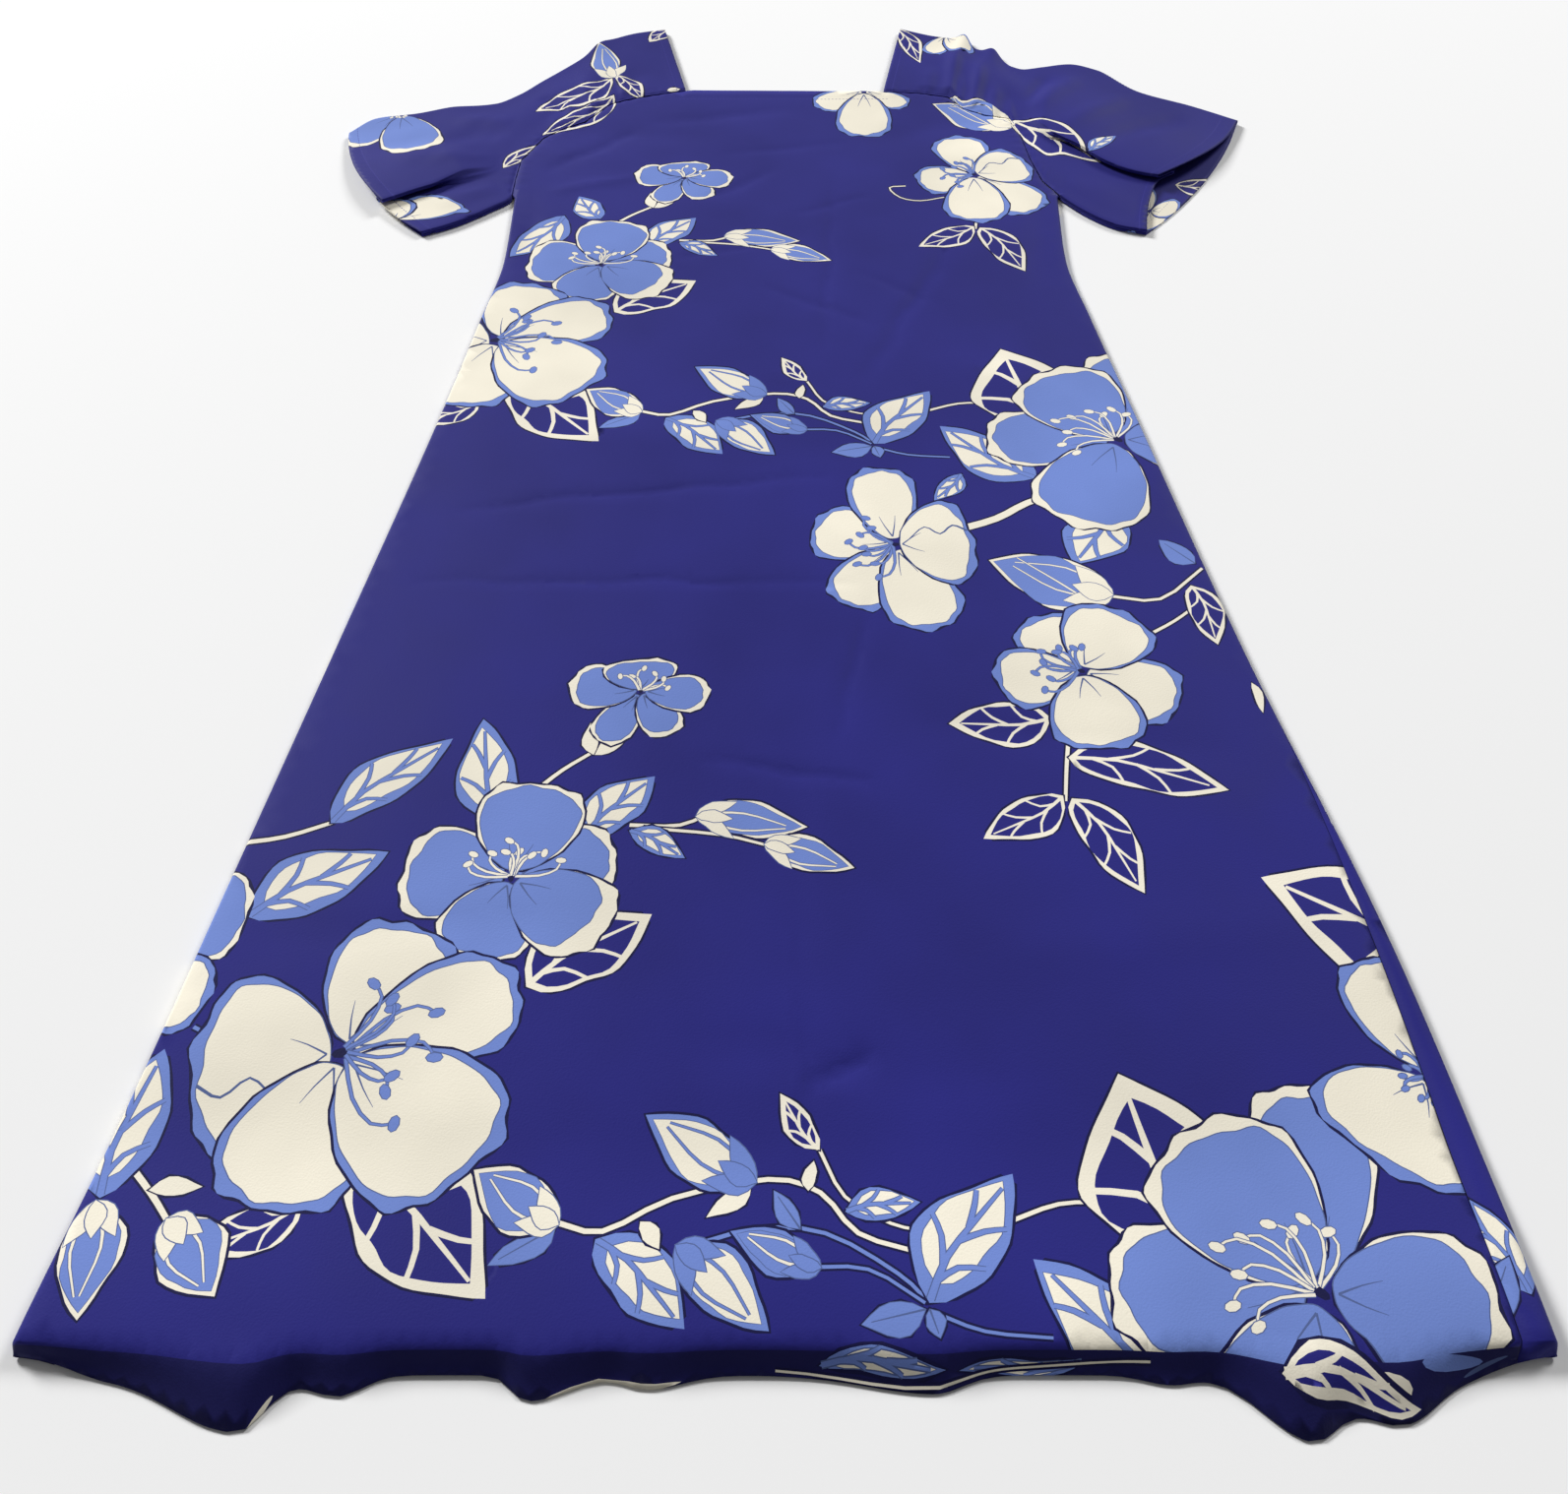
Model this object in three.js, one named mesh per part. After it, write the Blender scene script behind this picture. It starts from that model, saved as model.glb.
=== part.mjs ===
// A long A-line dress with a wide square neck and short gathered raglan sleeves, laid flat face up.
// Millimetres. +X runs across the dress, +Y from the hem to the neck, +Z up from the surface it lies on.
// Every piece is one sheet of cloth: a grid of points on its middle surface, thickened to a closed wall.
import * as THREE from 'three';

// Cloth and seams
const wall = 1.5;             // thickness of one layer of cloth
const seamGap = 0.3;          // clearance between two pieces at a seam
const floorLayer = wall / 2;  // middle of a layer that lies on the surface
const topLayer = 3.9;         // middle of the front where it lies on the back
const sag = 0.75;             // how far the front sinks towards the centre line
const neckLevel = 1207;       // height of the neck edge above the hem line
const clothColour = 0x2b2a7c; // navy
const clothRoughness = 0.62;

// Hem end: the last stretch swells a little and then turns down to the surface
const hemSwell = 9.2;         // middle of the front at the crest of the hem
const swellLength = 105;      // stretch over which it rises
const hemReach = 13;          // how far the turned-down edge reaches past the hem line
const cornerReach = 5;        // the same at the two side folds and on the layer beneath
const cornerFade = 46;        // width over which the reach dies out at each side
const overBack = 9;           // reach up to which the edge stays on top of the layer beneath
const onSurface = 15;         // reach from which the edge comes down to the surface

// Half outline of the body, one row for each section from the hem up.
// wrap is how far each side seam lies from its fold: the left one beneath, the right one on top.
const bodySections = [
  { y: 0, left: -354, right: 355, wrap: 20 },
  { y: 75, left: -343, right: 351, wrap: 17.5 },
  { y: 160, left: -331, right: 344, wrap: 13.5 },
  { y: 230, left: -322, right: 336, wrap: 10 },
  { y: 430, left: -296, right: 303, wrap: 0 },
  { y: 690, left: -263, right: 269, wrap: 0 },
  { y: 820, left: -249, right: 252, wrap: 0 },
  { y: 900, left: -241, right: 243, wrap: 0 },
  { y: 1004, left: -244, right: 248, wrap: 0 },
];

// Waves of the turned-down hem edge, one row for each fold: where it is, how much further it reaches,
// how wide it spreads to each side, and how high its ridge stands.
const hemFolds = [
  { at: -244, reach: 24, left: 44, right: 15, ridge: 2.8 },
  { at: -202, reach: 9, left: 20, right: 15, ridge: 1.0 },
  { at: -116, reach: 11, left: 10, right: 26, ridge: 1.8 },
  { at: -62, reach: 6, left: 14, right: 22, ridge: 0.8 },
  { at: 68, reach: 8, left: 42, right: 18, ridge: 1.3 },
  { at: 176, reach: 4, left: 16, right: 14, ridge: 0.6 },
  { at: 234, reach: 27, left: 26, right: 20, ridge: 3.0 },
  { at: 276, reach: 21, left: 24, right: 26, ridge: 1.8 },
];

// Sections of the body: down the turned-down hem as parts from its edge (1) towards its crest (0),
// then up the body as heights above the hem line. The raglan seams add one for each of their points.
const hemParts = [1, 0.82, 0.62, 0.42, 0.22];
const bodyHeights = [0, 14, 32, 54, 78, 105, 160, 230, 330, 430, 540, 650, 760, 860, 940, 1004];

// Points of one section: across the strip that a panel carries round a side fold, back from the
// seam at the other side in parts of that fold's quarter turn, and evenly in between.
const stripSteps = [0, 0.4, 0.7, 0.82, 0.91, 1];
const closingSteps = [1, 0.5, 0];
const frontColumns = 36;
const backColumns = 8;

// Sleeves, one row for each section from the cuff to the neck. top is the fold along the shoulder and
// seam the lower end: the underarm edge up to the armpit row, and from there the raglan seam.
// bow is how far the front's middle stands out past a straight line, backBow the back's. ridge is the
// place of the tuck's edge between top and seam, tuck its depth, puff how high the sleeve stands.
const sleeveLeft = {
  side: -1,
  armpit: 3,
  rows: [
    { topX: -417, topY: 1122, seamX: -319, seamY: 945, bow: 19, backBow: 14, ridge: 0.72, tuck: 13, puff: 2.2 },
    { topX: -396, topY: 1150, seamX: -293, seamY: 960, bow: 10, backBow: 7, ridge: 0.72, tuck: 9, puff: 2.0 },
    { topX: -358, topY: 1160, seamX: -264, seamY: 985, bow: 4, backBow: 3, ridge: 0.72, tuck: 4, puff: 1.6 },
    { topX: -322, topY: 1174, seamX: -247, seamY: 1006, bow: 0, backBow: 0, ridge: 0.73, tuck: 0.8, puff: 1.2 },
    { topX: -300, topY: 1176, seamX: -247, seamY: 1036, bow: 0, backBow: 0, ridge: 0.74, tuck: 0, puff: 1.0 },
    { topX: -283, topY: 1180, seamX: -246, seamY: 1070, bow: 0, backBow: 0, ridge: 0.75, tuck: 0, puff: 1.0 },
    { topX: -262, topY: 1199, seamX: -229, seamY: 1112, bow: 0, backBow: 0, ridge: 0.75, tuck: 0, puff: 1.2 },
    { topX: -243, topY: 1226, seamX: -211, seamY: 1131, bow: 0, backBow: 0, ridge: 0.75, tuck: 0, puff: 1.6 },
    { topX: -226, topY: 1249, seamX: -193, seamY: 1143, bow: 0, backBow: 0, ridge: 0.75, tuck: 0, puff: 1.8 },
    { topX: -205, topY: 1279, seamX: -171, seamY: 1179, bow: 0, backBow: 0, ridge: 0.75, tuck: 0, puff: 1.8 },
    { topX: -185, topY: 1311, seamX: -157, seamY: 1187, bow: 0, backBow: 0, ridge: 0.75, tuck: 0, puff: 1.4 },
    { topX: -160, topY: 1331, seamX: -136, seamY: 1196, bow: 0, backBow: 0, ridge: 0.75, tuck: 0, puff: 0.8 },
    { topX: -126, topY: 1342, seamX: -98, seamY: neckLevel, bow: 0, backBow: 0, ridge: 0.75, tuck: 0, puff: 0 },
  ],
};
const sleeveRight = {
  side: 1,
  armpit: 3,
  rows: [
    { topX: 440, topY: 1146, seamX: 320, seamY: 948, bow: -26, backBow: 12, ridge: 0.65, tuck: 20, puff: 3.0 },
    { topX: 400, topY: 1175, seamX: 296, seamY: 956, bow: -15, backBow: 6, ridge: 0.65, tuck: 17, puff: 3.0 },
    { topX: 352, topY: 1205, seamX: 270, seamY: 979, bow: -5, backBow: 2, ridge: 0.65, tuck: 13, puff: 2.6 },
    { topX: 318, topY: 1250, seamX: 251, seamY: 1006, bow: 0, backBow: 0, ridge: 0.66, tuck: 9, puff: 2.4 },
    { topX: 291, topY: 1263, seamX: 238, seamY: 1032, bow: 0, backBow: 0, ridge: 0.68, tuck: 6, puff: 2.2 },
    { topX: 264, topY: 1257, seamX: 231, seamY: 1072, bow: 0, backBow: 0, ridge: 0.71, tuck: 2.5, puff: 2.0 },
    { topX: 244, topY: 1252, seamX: 227, seamY: 1112, bow: 0, backBow: 0, ridge: 0.76, tuck: 0.8, puff: 2.0 },
    { topX: 232, topY: 1258, seamX: 218, seamY: 1150, bow: 0, backBow: 0, ridge: 0.78, tuck: 0, puff: 2.4 },
    { topX: 217, topY: 1282, seamX: 196, seamY: 1157, bow: 0, backBow: 0, ridge: 0.78, tuck: 0, puff: 2.8 },
    { topX: 199, topY: 1297, seamX: 176, seamY: 1170, bow: 0, backBow: 0, ridge: 0.78, tuck: 0, puff: 2.6 },
    { topX: 182, topY: 1318, seamX: 163, seamY: 1193, bow: 0, backBow: 0, ridge: 0.78, tuck: 0, puff: 1.8 },
    { topX: 155, topY: 1327, seamX: 137, seamY: 1201, bow: 0, backBow: 0, ridge: 0.78, tuck: 0, puff: 0.8 },
    { topX: 123, topY: 1343, seamX: 99, seamY: neckLevel - 2, bow: 0, backBow: 0, ridge: 0.78, tuck: 0, puff: 0 },
  ],
};

// Gathers that the shoulder seam draws into each sleeve, one row for each pucker: its place as a
// row number of the sleeve's table, its height, and how far it runs up from the seam (0 to 1).
const gathersLeft = [
  { row: 7.5, height: 1.6, run: 0.5 },
  { row: 8.5, height: 2.2, run: 0.75 },
  { row: 9.5, height: 1.8, run: 0.6 },
  { row: 10.5, height: 1.4, run: 0.45 },
];
const gathersRight = [
  { row: 7.5, height: 2.2, run: 0.6 },
  { row: 8.25, height: 2.6, run: 0.95 },
  { row: 9, height: 2.4, run: 0.7 },
  { row: 9.75, height: 2.8, run: 0.95 },
  { row: 10.5, height: 2.0, run: 0.6 },
];
const gatherWidth = 0.3;      // half width of a pucker, in rows
const gatherStart = 0.02;     // where a pucker begins to rise, as a part of the way up from the seam
const gatherFull = 0.12;      // where it has its full height
const puffEnd = 0.8;          // part of the way from fold to seam at which the puff has sunk again

// A tuck's nine points, from the front below it to the front above it. flat is each one's place where
// the tuck has died out, in steps down from its ridge. Folded right over, it lies at fold (0 at the
// inner turn, 1 at the ridge) moved by off half layers, and layers high.
const tuckPath = [
  { flat: 2, fold: 0, off: 1, layers: 0 },
  { flat: 1.2, fold: 0, off: 0.3, layers: 0.15 },
  { flat: 0.5, fold: 0, off: 0, layers: 0.5 },
  { flat: 0, fold: 0, off: 0.3, layers: 0.85 },
  { flat: -0.5, fold: 0.5, off: 0, layers: 1 },
  { flat: -1, fold: 1, off: -0.3, layers: 1.15 },
  { flat: -1.5, fold: 1, off: 0, layers: 1.5 },
  { flat: -2, fold: 1, off: -0.3, layers: 1.85 },
  { flat: -2.6, fold: 1, off: -1, layers: 2 },
];
const tuckLayer = wall + 1.4; // rise from one layer of a tuck to the next
const tuckStep = 3.6;         // one flat step of the table
const tuckRises = 4;          // depth at which a tuck has its full height
const tuckOpens = 3;          // depth up to which it stays a plain ridge
const tuckFolds = 8;          // depth at which it is folded right over
const tuckFade = 0.85;        // part of the way to the shoulder fold over which its height dies out
const easingPasses = 3;       // how often the turns of a half folded tuck are rounded
const easingLeast = 0.04;     // how strongly, where it is flat or folded right over
const easingMost = 0.6;       // and where it is half folded

// Sections between two rows of a sleeve's table, and the points of one section
const stepsInTube = 3;        // sections for each row from the cuff to the armpit
const stepsPerRow = 2;        // from the armpit on
const stepsInGathers = 3;     // where the sleeve is gathered
const gathersFrom = 7;        // row from which it is
const seamBlend = 3.2;        // stretch next to the raglan seam that joins the body's level
const foldMargin = 4;         // distance of the front's nearest point from the shoulder fold
const belowTuck = [0.3, 0.62, 0.85];
const aboveTuck = [0.1, 0.28, 0.5, 0.75, 1];
const shoulderTurn = [90, 45, 0, -45, -90];
const layerBeneath = [0.25, 0.5, 0.75];

const clamp = THREE.MathUtils.clamp;
const lerp = THREE.MathUtils.lerp;
const smooth = THREE.MathUtils.smoothstep;
const radians = THREE.MathUtils.degToRad;
const up = () => new THREE.Vector3(0, 0, 1);
const down = () => new THREE.Vector3(0, 0, -1);

// One column of a table at a place between its rows, on a smooth curve that never overshoots.
function along(rows, keyOf, column, at) {
  const last = rows.length - 1;
  let i = 0;
  while (i < last - 1 && keyOf(rows[i + 1], i + 1) <= at) i += 1;
  const span = (k) => keyOf(rows[k + 1], k + 1) - keyOf(rows[k], k);
  const slope = (k) => (rows[k + 1][column] - rows[k][column]) / span(k);
  const tangent = (k) => {
    if (k === 0) return slope(0);
    if (k === last) return slope(last - 1);
    const before = slope(k - 1);
    const after = slope(k);
    return before * after <= 0 ? 0 : 2 * before * after / (before + after);
  };
  const h = span(i);
  const t = clamp((at - keyOf(rows[i], i)) / h, 0, 1);
  const a = rows[i][column];
  const b = rows[i + 1][column];
  const bend = tangent(i) * h * t * (1 - t) * (1 - t) - tangent(i + 1) * h * t * t * (1 - t);
  return a + (b - a) * t * t * (3 - 2 * t) + bend;
}

const bodyAt = (column, y) => along(bodySections, (row) => row.y, column, y);

// Middle height of the front over the surface, without the turned-down hem.
function frontLevel(x, y) {
  const half = (bodyAt('right', y) - bodyAt('left', y)) / 2;
  const middle = (bodyAt('right', y) + bodyAt('left', y)) / 2;
  const across = clamp((x - middle) / half, -1, 1);
  const flat = topLayer - sag * (1 - across * across);
  return lerp(hemSwell, flat, smooth(y, 0, swellLength));
}

// One column of the hem's waves at x, all folds added up.
function wavesAt(column, x) {
  return hemFolds.reduce((sum, fold) => {
    const spread = x < fold.at ? fold.left : fold.right;
    return sum + fold[column] * Math.exp(-(((x - fold.at) / spread) ** 2));
  }, 0);
}

function hemReachAt(x) {
  const fromSide = Math.min(x - bodySections[0].left, bodySections[0].right - x);
  const fade = smooth(fromSide, 0, cornerFade);
  return cornerReach + (hemReach - cornerReach + wavesAt('reach', x)) * fade;
}

// Middle height of the turned-down hem: part runs from 0 at its crest to 1 at its edge.
function hemHeight(x, part) {
  const onBack = floorLayer + wall + 2 * seamGap;
  const rests = lerp(onBack, floorLayer, smooth(hemReachAt(x), overBack, onSurface));
  return lerp(hemSwell, rests, smooth(part, 0, 1)) + wavesAt('ridge', x) * Math.sin(Math.PI * part);
}

// A point of the body in one section, at a distance from the outermost point of a side fold:
// positive distances lie on the top layer, negative ones on the layer beneath.
function foldPoint(edge, side, distance, y, top) {
  const radius = (top - floorLayer) / 2;
  const quarter = radius * Math.PI / 2;
  const outermost = edge - side * wall / 2;
  const past = Math.max(Math.abs(distance) - quarter, 0);
  const angle = Math.min(Math.abs(distance), quarter) / radius;
  const x = outermost - side * (radius * (1 - Math.cos(angle)) + past);
  const rise = Math.sign(distance) * Math.sin(angle);
  return {
    point: new THREE.Vector3(x, y, floorLayer + radius + radius * rise),
    normal: new THREE.Vector3(side * Math.cos(angle), 0, rise).normalize(),
  };
}

// Thickens a grid of middle points to a closed wall. A point may name its own normal.
// Nothing reaches below the surface: a turned-down edge ends level where it meets it.
function clothWall(name, grid) {
  const rowCount = grid.length;
  const columnCount = grid[0].length;
  const normals = grid.map((row, i) => row.map((cell, j) => {
    if (cell.normal) return cell.normal;
    const middle = clamp(i, 1, rowCount - 2);
    const over = grid[i][Math.min(j + 1, columnCount - 1)].point.clone();
    over.sub(grid[i][Math.max(j - 1, 0)].point);
    const ahead = grid[middle + 1][j].point.clone().sub(grid[middle - 1][j].point);
    return over.cross(ahead).normalize();
  }));
  const positions = [];
  for (const side of [0.5, -0.5]) {
    grid.forEach((row, i) => row.forEach((cell, j) => {
      const p = cell.point.clone().addScaledVector(normals[i][j], side * wall);
      positions.push(p.x, p.y, Math.max(p.z, 0));
    }));
  }
  const outer = (i, j) => i * columnCount + j;
  const inner = (i, j) => rowCount * columnCount + outer(i, j);
  const faces = [];
  const quad = (a, b, c, d) => faces.push(a, b, c, a, c, d);
  const lastRow = rowCount - 1;
  const lastColumn = columnCount - 1;
  for (let i = 0; i < lastRow; i += 1) {
    for (let j = 0; j < lastColumn; j += 1) {
      quad(outer(i, j), outer(i, j + 1), outer(i + 1, j + 1), outer(i + 1, j));
      quad(inner(i, j), inner(i + 1, j), inner(i + 1, j + 1), inner(i, j + 1));
    }
  }
  for (let j = 0; j < lastColumn; j += 1) {
    quad(outer(0, j), inner(0, j), inner(0, j + 1), outer(0, j + 1));
    quad(outer(lastRow, j), outer(lastRow, j + 1), inner(lastRow, j + 1), inner(lastRow, j));
  }
  for (let i = 0; i < lastRow; i += 1) {
    quad(outer(i, 0), outer(i + 1, 0), inner(i + 1, 0), inner(i, 0));
    quad(outer(i, lastColumn), inner(i, lastColumn), inner(i + 1, lastColumn), outer(i + 1, lastColumn));
  }
  const geometry = new THREE.BufferGeometry();
  geometry.setAttribute('position', new THREE.Float32BufferAttribute(positions, 3));
  geometry.setIndex(faces);
  geometry.computeVertexNormals();
  const material = new THREE.MeshStandardMaterial({
    color: clothColour,
    roughness: clothRoughness,
    metalness: 0,
  });
  const mesh = new THREE.Mesh(geometry, material);
  mesh.name = name;
  return mesh;
}

// The raglan seam of a sleeve from the armpit to the neck corner, moved sideways by half the seam's
// clearance: away from the body for 1, towards it for -1.
function raglanSeam(sleeve, away) {
  const rows = sleeve.rows.slice(sleeve.armpit);
  const points = rows.map((row) => new THREE.Vector2(row.seamX, row.seamY));
  return points.map((point, i) => {
    const before = points[Math.max(i - 1, 0)];
    const after = points[Math.min(i + 1, points.length - 1)];
    const run = after.clone().sub(before).normalize();
    const outward = new THREE.Vector2(run.y, -run.x);
    if (outward.x * sleeve.side < 0) outward.negate();
    return point.clone().addScaledVector(outward, away * seamGap / 2);
  });
}

// Sections of a panel between its raglan seams, straight from one seam to the other.
function yokeSections(starts, ends, columns, levelAt, edgeNormal) {
  return starts.slice(1).map((start, i) => Array.from({ length: columns }, (_, j) => {
    const place = start.clone().lerp(ends[i + 1], j / (columns - 1));
    const isEdge = j === 0 || j === columns - 1;
    return {
      point: new THREE.Vector3(place.x, place.y, levelAt(place)),
      normal: isEdge ? edgeNormal() : null,
    };
  }));
}

// The front: its left side wraps under the fold, its right side ends on top short of the fold.
function frontGrid() {
  const section = (y, levelAt) => {
    const left = bodyAt('left', y);
    const right = bodyAt('right', y);
    const wrap = Math.max(bodyAt('wrap', y), seamGap / 2);
    const leftQuarter = (levelAt(left) - floorLayer) * Math.PI / 4;
    const rightQuarter = (levelAt(right) - floorLayer) * Math.PI / 4;
    const cells = stripSteps.map((part) => {
      const distance = lerp(seamGap / 2 - wrap, leftQuarter, part);
      return foldPoint(left, -1, distance, y, levelAt(left));
    });
    const closing = closingSteps.map((part) => {
      const distance = wrap + seamGap / 2 + part * rightQuarter;
      return foldPoint(right, 1, distance, y, levelAt(right));
    });
    const from = cells[cells.length - 1].point.x;
    const to = closing[0].point.x;
    for (let k = 1; k < frontColumns; k += 1) {
      const x = lerp(from, to, k / frontColumns);
      cells.push({ point: new THREE.Vector3(x, y, levelAt(x)) });
    }
    return [...cells, ...closing];
  };
  const hem = hemParts.map((part) => {
    const cells = section(0, (x) => hemHeight(x, part));
    cells.forEach(({ point }) => point.setY(-hemReachAt(point.x) * part));
    return cells;
  });
  const body = bodyHeights.map((y) => section(y, (x) => frontLevel(x, y)));
  const level = (place) => frontLevel(place.x, place.y);
  const seams = [raglanSeam(sleeveLeft, -1), raglanSeam(sleeveRight, -1)];
  const yoke = yokeSections(...seams, hem[0].length, level, up);
  return [...hem, ...body, ...yoke];
}

// The back: a strip that wraps over the right fold onto the top, then the layer on the surface.
function backGrid() {
  const section = (y, level, hemPart) => {
    const left = bodyAt('left', y);
    const right = bodyAt('right', y);
    const wrap = Math.max(bodyAt('wrap', y), seamGap / 2);
    const quarter = (level - floorLayer) * Math.PI / 4;
    const atFold = (edge, side, distance) => {
      const cell = foldPoint(edge, side, distance, y, level);
      const reach = distance > 0 ? hemReachAt(cell.point.x) : cornerReach;
      if (hemPart > 0) cell.point.setY(-reach * hemPart);
      return cell;
    };
    const cells = stripSteps.map((part) => atFold(right, 1, lerp(wrap - seamGap / 2, -quarter, part)));
    const closing = closingSteps.map((part) => atFold(left, -1, -(wrap + seamGap / 2 + part * quarter)));
    const from = cells[cells.length - 1].point;
    for (let k = 1; k < backColumns; k += 1) {
      cells.push({ point: from.clone().lerp(closing[0].point, k / backColumns) });
    }
    return [...cells, ...closing];
  };
  const hem = hemParts.map((part) => section(0, hemHeight(bodySections[0].right, part), part));
  const body = bodyHeights.map((y) => section(y, frontLevel(bodyAt('right', y), y), 0));
  const level = () => floorLayer;
  const seams = [raglanSeam(sleeveRight, -1), raglanSeam(sleeveLeft, -1)];
  const yoke = yokeSections(...seams, hem[0].length, level, down);
  return [...hem, ...body, ...yoke];
}

// Rounds the turns of a tuck while it is half folded, by moving each point towards its neighbours.
function easedTurns(points, amount) {
  let turns = points;
  for (let pass = 0; pass < easingPasses; pass += 1) {
    turns = turns.map((point, i) => {
      if (i === 0 || i === turns.length - 1) return point.clone();
      const between = turns[i - 1].clone().add(turns[i + 1]).multiplyScalar(0.5);
      return point.clone().lerp(between, amount);
    });
  }
  return turns;
}

// A sleeve. Each section starts on the seam at the front, runs up the front layer through its tuck,
// round the shoulder fold and back down the layer beneath.
function sleeveGrid(sleeve, gathers) {
  const { rows, armpit, side } = sleeve;
  const seam = raglanSeam(sleeve, 1);
  const radius = (topLayer - floorLayer) / 2;
  const middle = floorLayer + radius;
  const section = (place) => {
    const at = (column) => along(rows, (row, i) => i, column, place);
    const top = new THREE.Vector2(at('topX'), at('topY'));
    const seamIndex = clamp(Math.floor(place) - armpit, 0, seam.length - 2);
    const low = place < armpit
      ? new THREE.Vector2(at('seamX'), at('seamY'))
      : seam[seamIndex].clone().lerp(seam[seamIndex + 1], place - armpit - seamIndex);
    const length = top.distanceTo(low);
    const run = low.clone().sub(top).divideScalar(length);
    const outward = new THREE.Vector2(-run.y, run.x);
    if (outward.x * side < 0) outward.negate();
    const bow = at('bow');
    const backBow = at('backBow');
    const puff = at('puff');

    // s runs from the shoulder fold down to the seam
    const spot = (s, z, curve) => {
      const f = s / length;
      const p = top.clone().addScaledVector(run, s).addScaledVector(outward, curve * 4 * f * (1 - f));
      return { point: new THREE.Vector3(p.x, p.y, z) };
    };
    const turned = (degrees) => ({
      inset: radius * (1 - Math.cos(radians(degrees))),
      z: middle + radius * Math.sin(radians(degrees)),
    });
    const plain = (s) => {
      const f = clamp(s / length, 0, 1);
      const fromSeam = 1 - f;
      const pucker = gathers.reduce((sum, gather) => {
        const beside = Math.exp(-(((place - gather.row) / gatherWidth) ** 2));
        const begun = smooth(fromSeam, gatherStart, gatherFull);
        const spent = smooth(fromSeam, gather.run / 2, gather.run);
        return sum + gather.height * beside * begun * (1 - spent);
      }, 0);
      return topLayer + puff * Math.sin(Math.PI * Math.min(f / puffEnd, 1)) ** 2 + pucker;
    };

    // the tuck
    const tuck = at('tuck');
    const ridge = at('ridge') * length;
    const rises = smooth(tuck, 0, tuckRises);
    const folds = smooth(tuck, tuckOpens, tuckFolds);
    const placeOf = (stop) => {
      const folded = lerp(ridge - tuck, ridge, stop.fold) + stop.off * tuckLayer / 2;
      return lerp(ridge + stop.flat * tuckStep, folded, folds);
    };
    const turns = tuckPath.map((stop) => {
      const s = placeOf(stop);
      return new THREE.Vector2(s, plain(s) + rises * stop.layers * tuckLayer);
    });
    const eased = easedTurns(turns, lerp(easingLeast, easingMost, 4 * folds * (1 - folds)));
    const lowerStart = placeOf(tuckPath[0]) + tuckStep / 2;
    const upperStart = placeOf(tuckPath[tuckPath.length - 1]);

    // lower ends of both layers: the underarm fold's own seam, or the raglan seam
    const isTube = place <= armpit;
    const sideways = new THREE.Vector3(run.x, run.y, 0);
    const front = [];
    const back = [];
    if (isTube) {
      const half = turned(45);
      front.push({ ...spot(length, middle + seamGap / 2, 0), normal: sideways });
      front.push(spot(length - half.inset, half.z, bow));
      front.push(spot(length - radius, topLayer, bow));
      back.push(spot(length - radius, floorLayer, backBow));
      back.push(spot(length - half.inset, turned(-45).z, backBow));
      back.push({ ...spot(length, middle - seamGap / 2, 0), normal: sideways });
    } else {
      const level = frontLevel(low.x, low.y);
      front.push({ ...spot(length, level, 0), normal: up() });
      front.push(spot(length - seamBlend / 2, lerp(level, plain(length), 0.5), bow));
      front.push(spot(length - seamBlend, plain(length - seamBlend), bow));
      back.push(spot(length - seamBlend, floorLayer, backBow));
      back.push(spot(length - seamBlend / 2, floorLayer, backBow));
      back.push({ ...spot(length, floorLayer, 0), normal: down() });
    }
    const lowerEnd = length - (isTube ? radius : seamBlend);
    for (const part of belowTuck) {
      const s = lerp(lowerEnd, lowerStart, part);
      front.push(spot(s, plain(s), bow));
    }
    for (const turn of eased) front.push(spot(turn.x, turn.y, bow));
    for (const part of aboveTuck) {
      const s = lerp(upperStart, radius + foldMargin, part);
      const left = 1 - smooth(part, 0, tuckFade);
      front.push(spot(s, plain(s) + rises * 2 * tuckLayer * left, bow));
    }
    const shoulder = shoulderTurn.map((degrees) => spot(turned(degrees).inset, turned(degrees).z, 0));
    const backEnd = isTube ? length - radius : length;
    const beneath = layerBeneath.map((part) => spot(lerp(radius, backEnd, part), floorLayer, backBow));
    const cells = [...front, ...shoulder, ...beneath, ...back];
    return side > 0 ? cells : cells.reverse();
  };
  const grid = [];
  for (let i = 0; i < rows.length - 1; i += 1) {
    const plainSteps = i < armpit ? stepsInTube : stepsPerRow;
    const steps = i < gathersFrom ? plainSteps : stepsInGathers;
    for (let k = 0; k < steps; k += 1) grid.push(section(i + k / steps));
  }
  grid.push(section(rows.length - 1));
  return grid;
}

const dress = new THREE.Group();
dress.add(clothWall('front_panel', frontGrid()));
dress.add(clothWall('back_panel', backGrid()));
dress.add(clothWall('sleeve_left', sleeveGrid(sleeveLeft, gathersLeft)));
dress.add(clothWall('sleeve_right', sleeveGrid(sleeveRight, gathersRight)));

// The origin goes to the middle of the dress's box, on the surface.
const box = new THREE.Box3().setFromObject(dress);
const centre = box.getCenter(new THREE.Vector3());
dress.position.set(-centre.x, -centre.y, -box.min.z);
dress.updateMatrixWorld(true);

export default dress;
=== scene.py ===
import math
import random

import bmesh
import bpy
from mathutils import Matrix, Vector, geometry, noise
from mathutils.bvhtree import BVHTree


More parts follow.
